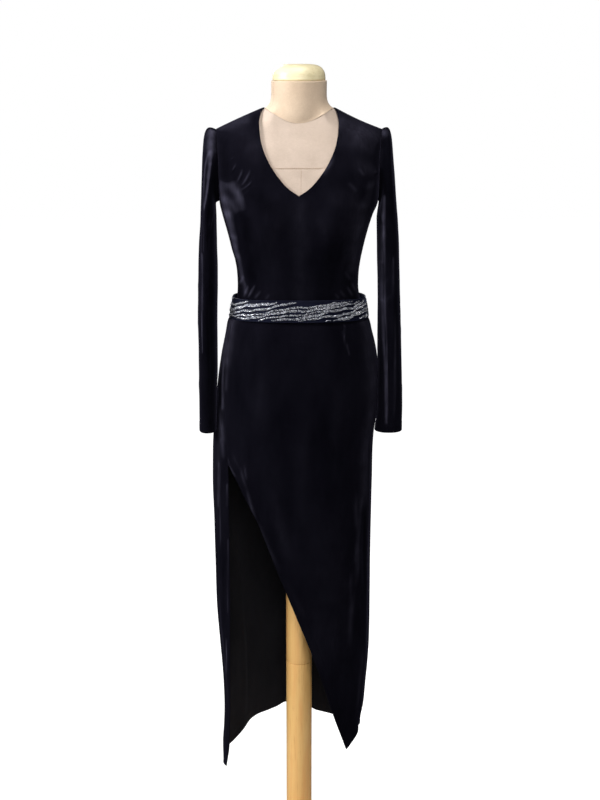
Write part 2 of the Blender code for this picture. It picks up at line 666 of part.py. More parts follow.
def build_skirt_front():
    piece = Piece()
    s = np.linspace(0.0, 1.0, FRONT_COLS + 1)
    corner_z, corner_x = FRONT_EDGE.rows[0]
    grid, angles = [], []
    for i in range(len(SEAM_HEIGHTS) + LOWER_ROWS):
        if i < len(SEAM_HEIGHTS):
            z_edge = z_right = SEAM_HEIGHTS[i]
            x_edge = -float(LEFT_EDGE("x", z_edge))
        else:
            t = (i - len(SEAM_HEIGHTS) + 1) / LOWER_ROWS
            z_edge = lerp(SLIT_TOP_Z, corner_z, t)
            z_right = None
            x_edge = float(FRONT_EDGE("x", z_edge))
        start = float(skirt_angle(np.array(x_edge), z_edge))
        angle = lerp(start, 90.0, s)
        if z_right is None:
            hem = HEM("z", lerp(48.0, 90.0, s))
            hem[0] = corner_z
            z = lerp(SLIT_TOP_Z, hem, t)
        else:
            z = np.full_like(s, z_edge)
        p = skirt_point(angle, z)
        p[-1, 1] = -0.5 * SEAM
        if i < len(SEAM_HEIGHTS):
            p[0] += edge_tangent(start + 360.0, z_edge) * 0.5 * SEAM
        grid.append(p)
        angles.append((start, z_edge, angle))
    piece.patch(grid, flip=True)
    for i, (start, z_edge, angle) in enumerate(angles):
        piece.aim([grid[i][-1]], [(1, 0, 0)])
        if i < len(SEAM_HEIGHTS):
            piece.aim([grid[i][0]], [skirt_normal(start + 360.0, z_edge)])
    piece.aim(grid[0][1:-1], [skirt_normal(a, SEAM_HEIGHTS[0]) for a in angles[0][2][1:-1]])
    return piece.wall("skirt_front", CLOTH, VELVET_A)


build_skirt_back()
build_skirt_front()


# ------------------------------------------------------------------ belt
BELT_STEPS = 56
LAP = 13.0                  # degrees that each end runs past the centre back
LAP_OUT = 2.8 * MM


def belt_point(angle, v, out):
    a = math.radians(angle)
    s, c = math.sin(a), math.cos(a)
    side = float(BELT("left" if s < 0 else "right", v)) + out
    deep = float(BELT("front" if c > 0 else "back", v)) + out
    n = 2.15
    x = side * math.copysign(abs(s) ** (2 / n), s)
    y = -deep * math.copysign(abs(c) ** (2 / n), c)
    z_end = float(BELT("z_front" if c > 0 else "z_back", v))
    z = lerp(float(BELT("z_side", v)), z_end, c * c)
    return np.array([x, y, z])


def build_belt():
    piece = Piece()
    grid = []
    for v in (0.0, 0.5, 1.0):
        row = []
        for k in range(BELT_STEPS + 1):
            t = k / BELT_STEPS
            angle = 180.0 - LAP + (360.0 + 2 * LAP) * t
            lift = LAP_OUT * float(smooth((angle - (540.0 - 4 * LAP)) / (3 * LAP)))
            row.append(belt_point(angle, v, lift))
        grid.append(row)
    piece.patch(grid, flip=False)
    return piece.wall("belt", BELT_WALL, BAND)


build_belt()


# ------------------------------------------------------------------ dress form
INSET = CLOTH + EASE
NECK_MIDDLE = (0.0, 0.0, 1.690)     # middle of the tilted ring under the neck
FORM_COLS = 36

# Rings of the form from the neck, over the shoulders and down to the underarm: half
# width, and height at the front and at the back. On the shoulders the sides of each
# ring lie on the shoulder line.
FORM_YOKE = [
    (0.0710, 1.6610, 1.7080),
    (0.0820, 1.6500, 1.6970),
    (0.0980, 1.6360, 1.6830),
    (0.1180, 1.6210, 1.6660),
    (0.1380, 1.6060, 1.6470),
    (0.1550, 1.5900, 1.6270),
    (0.1660, 1.5740, 1.6080)]
# Rings at the end of the shoulder, down to the underarm: side, front and back heights.
FORM_ARM_END = [
    (1.6300, 1.5560, 1.5860), (1.6050, 1.5440, 1.5700), (1.5780, 1.5320, 1.5520),
    (1.5500, 1.5200, 1.5330), (1.5200, 1.5060, 1.5130), (1.4900, 1.4900, 1.4900)]
# The neck column: share of its height, and how far it has closed in to a cylinder.
NECK_FLARE = [(0.0, 0.0), (0.08, 0.40), (0.18, 0.72), (0.32, 0.93), (0.50, 1.0), (1.0, 1.0)]
FORM_LEVELS = [1.462, 1.430, 1.398, 1.366, 1.334, 1.306, 1.282, 1.262, 1.244, 1.215,
               1.180, 1.140, 1.095, 1.050, 1.010, 0.982, 0.964, FORM_BOTTOM_Z]
# How the stuffed body closes under the hips: share of the section at each height.
FORM_CLOSE = Table("z share", [(FORM_BOTTOM_Z, 0.86), (0.964, 0.945), (0.982, 0.985),
                               (1.010, 0.995), (1.050, 1.0), (1.100, 1.0)])


def form_ring(kind, row):
    points = []
    for j in range(FORM_COLS):
        a = 2 * math.pi * j / FORM_COLS
        s, c = math.sin(a), math.cos(a)
        back = c < 0
        side = "left" if s < 0 else "right"
        if kind == "yoke":
            wide, z_front, z_back = row
            z_side = (float(shoulder_height(wide if side == "right" else -wide))
                      - INSET * (1.0 + float(smooth((wide - 0.066) / 0.02)))
                      + 0.008 * math.exp(-(wide - NECK_R) / 0.006))
        elif kind == "end":
            z_side, z_front, z_back = row
            wide = None
        if kind == "level":
            z = row
        else:
            z = lerp(z_side, z_back if back else z_front, abs(c) ** (3 if kind == "yoke" else 2))
        limit = float(FIGURE(side, z)) - INSET if z > 1.285 else float(SKIRT(side, z)) - INSET
        if kind != "yoke":
            wide = limit
        x = min(wide, limit) * s
        if kind == "yoke":
            # keep the ring on the surface between the neck and the shoulder's end
            y = float(torso_y(np.array(x), np.array(z), back, INSET, 0.002 if back else 0.008))
            if abs(c) < 1e-9:
                y = float(FIGURE("mid", z))
        elif kind == "end" or z > 1.285:
            y = float(torso_y(np.array(x), np.array(z), back, INSET))
            if abs(c) < 1e-9:
                y = float(FIGURE("mid", z))
        else:
            share = float(FORM_CLOSE("share", z)) if z < 1.1 else 1.0
            # below the hips the form is its own shape, not the hanging skirt's
            zz = max(z, 1.090)
            wide_l = min(float(SKIRT(side, zz)), 0.1690) - INSET
            deep = float(SKIRT("back" if back else "front", zz)) - INSET
            n = float(SKIRT("nb" if back else "nf", zz))
            shrink = 1.0 - 0.10 * max(0.0, (1.090 - z) / 0.14) ** 1.5
            x = wide_l * share * shrink * math.copysign(abs(s) ** (2 / n), s)
            y = -deep * share * shrink * math.copysign(abs(c) ** (2 / n), c)
        points.append((x, y, z))
    return points


def build_form_torso():
    rings = [form_ring("yoke", r) for r in FORM_YOKE]
    rings += [form_ring("end", r) for r in FORM_ARM_END]
    rings += [form_ring("level", z) for z in FORM_LEVELS]
    points = [p for ring in rings for p in ring]
    faces = []
    for i in range(len(rings) - 1):
        for j in range(FORM_COLS):
            k = (j + 1) % FORM_COLS
            a, b = i * FORM_COLS, (i + 1) * FORM_COLS
            faces.append([a + j, b + j, b + k, a + k])
    last = (len(rings) - 1) * FORM_COLS
    faces.append([last + j for j in reversed(range(FORM_COLS))])
    points.append(NECK_MIDDLE)
    faces += [[j, (j + 1) % FORM_COLS, len(points) - 1] for j in range(FORM_COLS)]
    return solid("form_torso", points, faces, LINEN)


def build_form_neck():
    """Neck column from the tilted ring on the torso, flaring in, up to the cap."""
    base = form_ring("yoke", FORM_YOKE[0])
    top = CAP_BOTTOM_Z - 0.4 * MM
    rings = []
    for level, inward in NECK_FLARE:
        ring = []
        for j, (x, y, z) in enumerate(base):
            a = 2 * math.pi * j / FORM_COLS
            ring.append((lerp(x, NECK_R * math.sin(a), inward),
                         lerp(y, -NECK_R * math.cos(a), inward),
                         lerp(z + 0.4 * MM, top, level)))
        rings.append(ring)
    rings[-1] = [(x * 0.985, y * 0.985, z) for x, y, z in rings[-1]]
    points = [p for ring in rings for p in ring]
    faces = []
    for i in range(len(rings) - 1):
        for j in range(FORM_COLS):
            k = (j + 1) % FORM_COLS
            a, b = i * FORM_COLS, (i + 1) * FORM_COLS
            faces.append([a + j, a + k, b + k, b + j])
    last = (len(rings) - 1) * FORM_COLS
    faces.append([last + j for j in range(FORM_COLS)])
    points.append((NECK_MIDDLE[0], NECK_MIDDLE[1], NECK_MIDDLE[2] + 0.4 * MM))
    faces += [[(j + 1) % FORM_COLS, j, len(points) - 1] for j in range(FORM_COLS)]
    return solid("form_neck", points, faces, LINEN_NECK)


build_form_torso()
build_form_neck()

CAP_R = 0.0545
cap = [(CAP_R - 0.0015, CAP_BOTTOM_Z), (CAP_R, CAP_BOTTOM_Z + 0.0015),
       (CAP_R, CAP_BOTTOM_Z + 0.0065)]
for k in range(1, 9):
    a = 0.5 * math.pi * k / 8
    cap.append((CAP_R * 0.995 * math.cos(a) ** 0.42 if k < 8 else 0.0,
                CAP_BOTTOM_Z + 0.0065 + (CAP_TOP_Z - CAP_BOTTOM_Z - 0.0065) * math.sin(a)))
lathe("form_cap", cap, CAP_WOOD)

lathe("pole_upper", [(POLE_R - 0.001, POLE_JOINT_Z), (POLE_R, POLE_JOINT_Z + 0.001),
                     (POLE_R, FORM_BOTTOM_Z - SEAM)], POLE_WOOD)
lathe("pole_lower", [(POLE_R, PLATE_H + SEAM), (POLE_R, POLE_JOINT_Z - SEAM - 0.001),
                     (POLE_R - 0.001, POLE_JOINT_Z - SEAM)], POLE_WOOD)

# The collar is a ring round the foot of the pole, standing on the plate.
ring = []
hole = POLE_R + 0.4 * MM
profile = [(hole, PLATE_H + SEAM), (COLLAR_R, PLATE_H + SEAM),
           (COLLAR_R, PLATE_H + COLLAR_H * 0.55), (COLLAR_R - 0.004, PLATE_H + COLLAR_H * 0.85),
           (COLLAR_R - 0.008, PLATE_H + COLLAR_H), (hole, PLATE_H + COLLAR_H)]
STEPS = 36
points = [(r * math.cos(2 * math.pi * k / STEPS), r * math.sin(2 * math.pi * k / STEPS), z)
          for r, z in profile for k in range(STEPS)]
faces = []
for i in range(len(profile)):
    a, b = i * STEPS, ((i + 1) % len(profile)) * STEPS
    for k in range(STEPS):
        j = (k + 1) % STEPS
        faces.append([a + k, a + j, b + j, b + k])
solid("base_collar", points, faces, FOOT_WOOD)

lathe("base_plate", [(PLATE_R - 0.003, 0.0), (PLATE_R, 0.003), (PLATE_R, PLATE_H - 0.006),
                     (PLATE_R - 0.002, PLATE_H - 0.002), (PLATE_R - 0.006, PLATE_H)],
      FOOT_WOOD, steps=48)
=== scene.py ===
"""Looks of a long-sleeved V-neck evening dress in dark stretch velvet, with its beaded
belt, standing on the linen dress form that it is dressed on.

Metres, +Z up, the front looks along -Y and +X is to the right of someone who faces it.
"""

import math

import bpy
import numpy as np
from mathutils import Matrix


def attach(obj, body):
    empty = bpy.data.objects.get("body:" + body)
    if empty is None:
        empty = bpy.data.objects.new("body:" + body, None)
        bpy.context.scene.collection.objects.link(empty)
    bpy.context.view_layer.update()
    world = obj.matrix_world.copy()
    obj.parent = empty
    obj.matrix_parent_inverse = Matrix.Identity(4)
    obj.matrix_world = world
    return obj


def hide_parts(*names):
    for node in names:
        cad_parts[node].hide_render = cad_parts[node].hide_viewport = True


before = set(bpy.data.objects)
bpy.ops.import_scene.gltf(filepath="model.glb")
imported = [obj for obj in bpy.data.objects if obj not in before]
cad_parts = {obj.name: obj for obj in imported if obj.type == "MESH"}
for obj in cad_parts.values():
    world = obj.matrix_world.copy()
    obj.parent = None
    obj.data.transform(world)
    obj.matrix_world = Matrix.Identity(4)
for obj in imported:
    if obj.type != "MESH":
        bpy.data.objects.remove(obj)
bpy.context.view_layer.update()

MM = 0.001

# ------------------------------------------------------------------ sizes of the dress
CLOTH = 1.2 * MM
SEAM = 0.3 * MM
WAIST_SEAM_Z = 1.282
UNDERARM_Z = 1.499
HPS_X, HPS_Z = 0.0745, 1.690
TIP_X, TIP_Z = 0.1730, 1.6460
SHOULDER_DIP = {-1: -0.001, 1: 0.0025}
SHOULDER_ROUND = 0.040
V_TIP_Z = 1.519
BACK_NECK_Z = 1.672
ARMHOLE_Y, ARMHOLE_Z = 0.010, 1.5725
ARMHOLE_HIGH = 0.0735
ARMHOLE_FRONT, ARMHOLE_BACK = 0.048, 0.052
BUST_X, BUST_Z, BUST_OUT = 0.080, 1.452, 0.015
BUST_WIDE, BUST_TALL = 0.042, 0.055
SLIT_TOP_Z = 0.944
CUFF_Z = 1.013
HIP_CLEAR = 2.0 * MM
HEAD_OUT = {-1: 0.020, 1: 0.012}
HEAD_DROP = {-1: 0.009, 1: 0.016}
POLE_R = 0.0292
POLE_JOINT_Z = 0.4615
FORM_BOTTOM_Z = 0.955
NECK_R = 0.0572
CAP_BOTTOM_Z, CAP_TOP_Z, CAP_R = 1.7450, 1.7775, 0.0545
PLATE_R, PLATE_H = 0.150, 0.018
COLLAR_R, COLLAR_H = 0.044, 0.030
INSET = 3.5 * MM


class Table:
    """Rows of named columns, read between the rows along a smooth curve that
    never overshoots them. The first column is the key."""

    def __init__(self, columns, rows):
        self.names = columns.split()
        self.rows = np.array(sorted(rows), dtype=float)

    def __call__(self, name, key):
        x = self.rows[:, 0]
        y = self.rows[:, self.names.index(name)]
        h = np.diff(x)
        d = np.diff(y) / h
        m = np.zeros_like(y)
        m[0], m[-1] = d[0], d[-1]
        same = d[:-1] * d[1:] > 0
        w1, w2 = 2 * h[1:] + h[:-1], h[1:] + 2 * h[:-1]
        safe0 = np.where(same, d[:-1], 1.0)
        safe1 = np.where(same, d[1:], 1.0)
        m[1:-1] = np.where(same, (w1 + w2) / (w1 / safe0 + w2 / safe1), 0.0)
        k = np.clip(np.asarray(key, dtype=float), x[0], x[-1])
        i = np.clip(np.searchsorted(x, k) - 1, 0, len(h) - 1)
        t = (k - x[i]) / h[i]
        return ((2 * t ** 3 - 3 * t ** 2 + 1) * y[i] + (t ** 3 - 2 * t ** 2 + t) * h[i] * m[i]
                + (3 * t ** 2 - 2 * t ** 3) * y[i + 1] + (t ** 3 - t ** 2) * h[i] * m[i + 1])


FIGURE = Table("z left right front back nf nb mid", [
    (1.245, 0.1520, 0.1510, 0.1040, 0.0980, 2.15, 2.20, 0.0),
    (1.258, 0.1445, 0.1440, 0.0985, 0.0920, 2.15, 2.20, 0.0),
    (1.270, 0.1395, 0.1390, 0.0960, 0.0885, 2.15, 2.20, 0.0),
    (1.285, 0.1345, 0.1335, 0.0940, 0.0860, 2.15, 2.20, 0.0),
    (1.300, 0.1310, 0.1285, 0.0930, 0.0845, 2.15, 2.20, 0.0),
    (1.325, 0.1300, 0.1255, 0.0935, 0.0840, 2.15, 2.20, 0.0),
    (1.350, 0.1308, 0.1265, 0.0955, 0.0860, 2.20, 2.20, 0.0),
    (1.374, 0.1345, 0.1297, 0.0985, 0.0890, 2.20, 2.25, 0.0),
    (1.400, 0.1418, 0.1350, 0.1030, 0.0930, 2.25, 2.30, 0.0),
    (1.437, 0.1508, 0.1437, 0.1075, 0.0980, 2.30, 2.40, 0.0),
    (1.470, 0.1598, 0.1538, 0.1095, 0.1010, 2.40, 2.50, 0.0),
    (1.500, 0.1660, 0.1650, 0.1095, 0.1025, 2.60, 2.70, 0.0),
    (1.550, 0.1690, 0.1685, 0.1015, 0.1010, 3.10, 3.10, 0.003),
    (1.580, 0.1700, 0.1695, 0.0940, 0.0975, 3.40, 3.30, 0.005),
    (1.610, 0.1715, 0.1710, 0.0850, 0.0905, 3.50, 3.40, 0.007),
    (1.640, 0.1745, 0.1740, 0.0745, 0.0800, 3.40, 3.30, 0.010),
    (1.661, 0.1765, 0.1760, 0.0660, 0.0700, 3.20, 3.20, 0.010),
    (1.691, 0.1790, 0.1785, 0.0560, 0.0560, 3.00, 3.00, 0.010),
    (1.720, 0.1800, 0.1800, 0.0500, 0.0500, 3.00, 3.00, 0.010),
])
V_NECK = Table("z half", [
    (1.5190, 0.0000), (1.5330, 0.0215), (1.5540, 0.0410), (1.5760, 0.0565),
    (1.5980, 0.0680), (1.6200, 0.0760), (1.6420, 0.0800), (1.6640, 0.0815),
    (1.6820, 0.0785), (1.6900, 0.0745)])
BACK_NECK = Table("z half", [
    (1.6720, 0.0000), (1.6730, 0.0250), (1.6770, 0.0480), (1.6840, 0.0660),
    (1.6900, 0.0745)])
SKIRT = Table("z left right front back nf nb", [
    (0.200, 0.1745, 0.1400, 0.1030, 0.1330, 2.20, 2.25),
    (0.260, 0.1750, 0.1395, 0.1030, 0.1325, 2.20, 2.25),
    (0.311, 0.1722, 0.1405, 0.1025, 0.1310, 2.20, 2.25),
    (0.361, 0.1710, 0.1482, 0.1020, 0.1290, 2.20, 2.25),
    (0.411, 0.1720, 0.1520, 0.1015, 0.1275, 2.20, 2.25),
    (0.460, 0.1746, 0.1560, 0.1010, 0.1260, 2.20, 2.25),
    (0.509, 0.1782, 0.1583, 0.1005, 0.1250, 2.20, 2.25),
    (0.605, 0.1848, 0.1590, 0.1005, 0.1235, 2.20, 2.25),
    (0.701, 0.1862, 0.1588, 0.1015, 0.1225, 2.20, 2.25),
    (0.795, 0.1874, 0.1592, 0.1035, 0.1220, 2.20, 2.25),
    (0.887, 0.1893, 0.1600, 0.1065, 0.1225, 2.20, 2.25),
    (0.956, 0.1882, 0.1606, 0.1095, 0.1245, 2.20, 2.25),
    (1.001, 0.1858, 0.1625, 0.1115, 0.1260, 2.20, 2.25),
    (1.046, 0.1818, 0.1688, 0.1135, 0.1275, 2.20, 2.25),
    (1.069, 0.1787, 0.1705, 0.1145, 0.1280, 2.20, 2.25),
    (1.113, 0.1749, 0.1708, 0.1150, 0.1270, 2.20, 2.25),
    (1.157, 0.1690, 0.1690, 0.1140, 0.1225, 2.20, 2.25),
    (1.179, 0.1654, 0.1664, 0.1130, 0.1185, 2.20, 2.25),
    (1.201, 0.1608, 0.1619, 0.1110, 0.1130, 2.20, 2.25),
    (1.223, 0.1562, 0.1562, 0.1085, 0.1060, 2.18, 2.22),
    (1.245, 0.1520, 0.1510, 0.1040, 0.0980, 2.15, 2.20),
    (1.258, 0.1445, 0.1440, 0.0985, 0.0920, 2.15, 2.20),
    (1.270, 0.1395, 0.1390, 0.0960, 0.0885, 2.15, 2.20),
    (1.285, 0.1345, 0.1335, 0.0940, 0.0860, 2.15, 2.20),
])
LEFT_EDGE = Table("z x", [
    (0.2150, 0.1658), (0.2400, 0.1620), (0.2700, 0.1580), (0.3350, 0.1560),
    (0.4350, 0.1545), (0.5350, 0.1530), (0.6300, 0.1518), (0.8200, 0.1513),
    (0.9100, 0.1514), (0.9440, 0.1520), (1.0300, 0.1570), (1.1200, 0.1600),
    (1.2000, 0.1560), (1.2820, 0.1330)])
FRONT_EDGE = Table("z x", [
    (0.2758, 0.1060), (0.3204, 0.0918), (0.3710, 0.0756), (0.4465, 0.0530),
    (0.5240, 0.0263), (0.5975, -0.0022), (0.6650, -0.0282), (0.7200, -0.0497),
    (0.7950, -0.0773), (0.8275, -0.0905), (0.8510, -0.1028), (0.8745, -0.1150),
    (0.8980, -0.1262), (0.9190, -0.1372), (0.9440, -0.1520)])
HEM = Table("angle z", [
    (40, 0.2740), (48, 0.2758), (57, 0.2890), (66, 0.3010), (78, 0.3080), (90, 0.3060),
    (115, 0.2860), (140, 0.2700), (156, 0.2675), (165, 0.2710), (172, 0.2820),
    (180, 0.2935), (188, 0.2965), (196, 0.2820), (204, 0.2715), (212, 0.2660),
    (220, 0.2595), (231, 0.2405), (243, 0.2210), (255, 0.2130), (275, 0.2110),
    (290, 0.2147), (315, 0.2150)])
FOLDS = Table("angle width out z_from z_to", [
    (64, 9, 0.0030, 1.00, 0.55),
    (80, 7, -0.0035, 0.98, 0.50),
    (112, 10, 0.0050, 1.02, 0.45),
    (134, 11, -0.0055, 1.00, 0.40),
    (158, 12, 0.0060, 1.02, 0.40),
    (183, 12, -0.0060, 1.00, 0.45),
    (207, 11, 0.0055, 1.03, 0.40),
    (229, 10, -0.0060, 1.00, 0.42),
    (250, 9, 0.0045, 0.98, 0.50),
])
SLEEVE_LEFT = Table("z inner outer front back", [
    (1.010, 0.1765, 0.2142, -0.0690, 0.0150),
    (1.080, 0.1752, 0.2138, -0.0680, 0.0190),
    (1.160, 0.1736, 0.2134, -0.0680, 0.0240),
    (1.250, 0.1733, 0.2142, -0.0670, 0.0330),
    (1.330, 0.1718, 0.2124, -0.0630, 0.0410),
    (1.400, 0.1727, 0.2105, -0.0580, 0.0500),
    (1.460, 0.1735, 0.2066, -0.0520, 0.0580)])
SLEEVE_RIGHT = Table("z inner outer front back", [
    (1.010, 0.1620, 0.2215, -0.0640, 0.0060),
    (1.060, 0.1668, 0.2216, -0.0650, 0.0100),
    (1.160, 0.1666, 0.2188, -0.0660, 0.0210),
    (1.250, 0.1669, 0.2158, -0.0650, 0.0310),
    (1.330, 0.1663, 0.2128, -0.0620, 0.0410),
    (1.400, 0.1643, 0.2106, -0.0570, 0.0500),
    (1.460, 0.1635, 0.2075, -0.0520, 0.0580)])
BELT = Table("v left right front back z_side z_front z_back", [
    (0.0, 0.1486, 0.1482, 0.1040, 0.0990, 1.2560, 1.2605, 1.2535),
    (0.5, 0.1452, 0.1452, 0.1022, 0.0960, 1.2762, 1.2817, 1.2738),
    (1.0, 0.1408, 0.1412, 0.1010, 0.0930, 1.2965, 1.3030, 1.2942)])
FORM_YOKE = Table("step wide z_front z_back", [
    (0, 0.0710, 1.6610, 1.7080),
    (1, 0.0820, 1.6500, 1.6970),
    (2, 0.0980, 1.6360, 1.6830),
    (3, 0.1180, 1.6210, 1.6660),
    (4, 0.1380, 1.6060, 1.6470),
    (5, 0.1550, 1.5900, 1.6270),
    (6, 0.1660, 1.5740, 1.6080)])
FORM_ARM_END = Table("step z_side z_front z_back", [
    (0, 1.6300, 1.5560, 1.5860), (1, 1.6050, 1.5440, 1.5700), (2, 1.5780, 1.5320, 1.5520),
    (3, 1.5500, 1.5200, 1.5330), (4, 1.5200, 1.5060, 1.5130), (5, 1.4900, 1.4900, 1.4900)])
NECK_FLARE = Table("level inward", [
    (0.0, 0.0), (0.08, 0.40), (0.18, 0.72), (0.32, 0.93), (0.50, 1.0), (1.0, 1.0)])
FORM_CLOSE = Table("z share", [(FORM_BOTTOM_Z, 0.86), (0.964, 0.945), (0.982, 0.985),
                               (1.010, 0.995), (1.050, 1.0), (1.100, 1.0)])

# ------------------------------------------------------------------ creases
# Each row is one soft crease: where it starts and ends, its half width, how far it
# stands out (or in), and how far it bows to one side, all in mm.
# Bodice: x across and z up, on the front and on the back.
CREASES_FRONT = [
    # x0, z0, x1, z1, width, out, bow
    # short drag lines between the left armhole and the neck
    (-148, 1582, -130, 1598, 2.2, 0.5, 1.0),
    (-142, 1560, -127, 1584, 2.6, 0.7, 1.2),
    (-137, 1558, -126, 1575, 1.8, -0.7, 1.0),
    (-126, 1545, -114, 1572, 2.5, 0.9, 1.0),
    (-121, 1543, -110, 1567, 1.7, -0.9, 1.0),
    (-117, 1538, -98, 1571, 2.6, 0.9, 1.5),
    (-112, 1535, -93, 1562, 1.8, -1.0, 1.5),
    (-119, 1529, -93, 1550, 2.5, 0.8, 1.5),
    (-113, 1524, -94, 1541, 1.8, -0.8, 1.0),
    (-112, 1519, -100, 1535, 2.6, 0.6, 0.5),
    # the bright roll from under the arm to the bust
    (-160, 1547, -130, 1535, 8.0, 0.9, 2.0),
    (-128, 1533, -106, 1492, 10.0, 1.3, -3.0),
    (-152, 1528, -128, 1508, 7.0, -0.9, 0.0),
    (-146, 1512, -122, 1476, 9.0, 0.9, -2.0),
    # the same on the right, softer
    (152, 1566, 172, 1560, 3.5, 1.0, 1.0),
    (172, 1585, 168, 1557, 3.0, -0.9, 0.0),
    (160, 1548, 132, 1530, 9.0, 1.1, -2.0),
    (134, 1556, 120, 1574, 4.0, 0.7, 0.0),
    (122, 1541, 108, 1560, 4.0, -0.7, 0.0),
    (118, 1526, 100, 1546, 4.5, 0.8, 0.0),
    (144, 1524, 122, 1500, 8.0, -0.9, 0.0),
    (72, 1593, 54, 1567, 4.5, 0.8, 0.0),
    (64, 1576, 44, 1549, 4.0, -0.5, 0.0),
    # where the waist bunches above the belt
    (-127, 1325, -115, 1349, 3.2, 1.2, 1.0),
    (-121, 1313, -110, 1336, 2.8, -1.1, 0.5),
    (-116, 1303, -105, 1331, 2.8, 1.6, 1.0),
    (-111, 1303, -101, 1326, 2.3, -1.2, 0.5),
    (-107, 1303, -90, 1336, 2.8, 1.6, 1.0),
    (-100, 1303, -86, 1326, 2.5, -1.0, 0.5),
    (-93, 1303, -79, 1322, 3.0, 0.9, 0.5),
    (-70, 1303, -60, 1316, 3.5, 0.5, 0.0),
    (94, 1361, 110, 1337, 4.0, 0.7, 0.0),
    (112, 1350, 121, 1330, 3.5, -0.8, 0.0),
    (99, 1329, 114, 1303, 3.2, 0.9, 0.5),
    (92, 1325, 105, 1303, 2.6, -1.1, 0.5),
    (85, 1322, 98, 1303, 3.0, 0.7, 0.5),
    (108, 1337, 120, 1312, 3.0, 0.8, 0.5),
    (74, 1316, 84, 1303, 3.0, 0.6, 0.0),
    # long, very faint pulls of the stretched front
    (-30, 1500, -66, 1400, 12.0, 0.4, 0.0),
    (34, 1496, 70, 1396, 12.0, 0.4, 0.0),
    (-96, 1420, -74, 1340, 10.0, 0.6, 3.0),
    (100, 1424, 74, 1344, 10.0, 0.5, -3.0),
    (-60, 1640, -112, 1600, 12.0, 0.5, 0.0),
    (104, 1650, 150, 1596, 10.0, 0.6, 0.0),
]
CREASES_BACK = [
    (-150, 1560, -118, 1532, 6.0, 1.2, 2.0),
    (-156, 1536, -126, 1506, 6.0, -1.0, 1.0),
    (-146, 1512, -108, 1480, 8.0, 1.1, 2.0),
    (152, 1562, 122, 1536, 6.0, 1.1, -2.0),
    (155, 1534, 128, 1500, 6.5, -1.0, 0.0),
    (143, 1508, 104, 1474, 8.0, 1.0, -2.0),
    (-86, 1356, 30, 1346, 7.0, -1.3, 4.0),
    (-40, 1333, 92, 1341, 6.0, 1.6, 4.0),
    (-96, 1322, 24, 1318, 5.0, -1.2, 3.0),
    (-20, 1306, 88, 1314, 5.0, 1.3, 2.0),
    (-110, 1308, -62, 1334, 4.0, 1.4, 0.0),
    (112, 1306, 76, 1330, 4.0, 1.4, 0.0),
    (-118, 1346, -84, 1376, 5.0, 1.0, 0.0),
    (116, 1350, 84, 1384, 5.0, -1.0, 0.0),
    (-70, 1630, -126, 1588, 12.0, 0.7, 0.0),
    (66, 1636, 120, 1592, 12.0, 0.6, 0.0),
    (-30, 1590, -36, 1450, 14.0, 0.5, 4.0),
    (26, 1596, 38, 1444, 14.0, -0.5, 4.0),
]
# Sleeves: degrees round the tube (0 outer side, 90 front, 180 inner side, -90 back)
# and height, in mm.
CREASES_SLEEVE_LEFT = [
    (64, 1612, 70, 1500, 3.0, 1.6, 2.0),
    (66, 1520, 62, 1330, 1.8, 1.5, 1.5),
    (60, 1350, 66, 1180, 1.6, 1.3, -1.0),
    (40, 1460, 44, 1200, 2.0, -0.9, 1.0),
    (34, 1330, 40, 1090, 2.0, 0.9, 1.0),
    (98, 1500, 106, 1360, 4.0, -1.2, 1.0),
    (112, 1470, 100, 1300, 4.0, 0.9, 2.0),
    (96, 1340, 104, 1120, 3.5, -0.8, 1.0),
    (118, 1260, 108, 1050, 3.0, 0.8, 1.0),
    (96, 1350, 132, 1322, 4.0, 0.9, 0.0),
    (84, 1318, 124, 1290, 4.0, -0.9, 0.0),
    (104, 1286, 134, 1262, 4.0, 0.8, 0.0),
    (142, 1484, 100, 1450, 5.0, 1.3, 0.0),
    (138, 1466, 104, 1428, 5.0, -1.1, 0.0),
    (-20, 1560, -14, 1360, 8.0, 1.0, 3.0),
    (-60, 1520, -48, 1240, 6.0, -1.2, 3.0),
    (-88, 1480, -80, 1180, 4.0, 1.4, 2.0),
    (-120, 1440, -104, 1140, 6.0, -1.0, 2.0),
    (10, 1330, -50, 1286, 8.0, 1.1, 3.0),
    (4, 1296, -54, 1256, 8.0, -1.1, 3.0),
    (16, 1250, -44, 1216, 8.0, 0.9, 3.0),
    (20, 1120, -30, 1090, 9.0, 0.8, 2.0),
]
CREASES_SLEEVE_RIGHT = [
    (118, 1492, 112, 1340, 3.6, 1.9, 1.5),
    (112, 1350, 108, 1230, 3.0, 1.5, -1.0),
    (106, 1262, 100, 1020, 1.7, 1.6, 1.0),
    (132, 1480, 128, 1260, 3.0, -1.3, 1.0),
    (88, 1470, 92, 1180, 4.0, -1.2, 1.5),
    (74, 1500, 78, 1300, 3.5, 0.8, 1.0),
    (70, 1280, 76, 1040, 3.5, 0.8, 1.0),
    (92, 1180, 84, 1040, 3.5, -0.9, 1.0),
    (62, 1610, 72, 1520, 5.0, 0.9, 1.0),
    (90, 1356, 124, 1330, 4.0, -0.8, 0.0),
    (84, 1312, 122, 1290, 6.0, 0.4, 0.0),
    (138, 1486, 104, 1452, 5.0, 1.2, 0.0),
    (128, 1462, 92, 1424, 5.0, -1.0, 0.0),
    (-22, 1566, -16, 1370, 8.0, 1.0, 3.0),
    (-58, 1516, -46, 1250, 6.0, -1.1, 3.0),
    (-86, 1470, -78, 1190, 4.0, 1.3, 2.0),
    (-116, 1430, -100, 1150, 6.0, -1.0, 2.0),
    (6, 1340, -52, 1298, 8.0, 1.0, 3.0),
    (12, 1290, -46, 1254, 8.0, -1.0, 3.0),
    (18, 1236, -40, 1206, 8.0, 0.8, 3.0),
    (14, 1110, -34, 1084, 9.0, 0.8, 2.0),
]
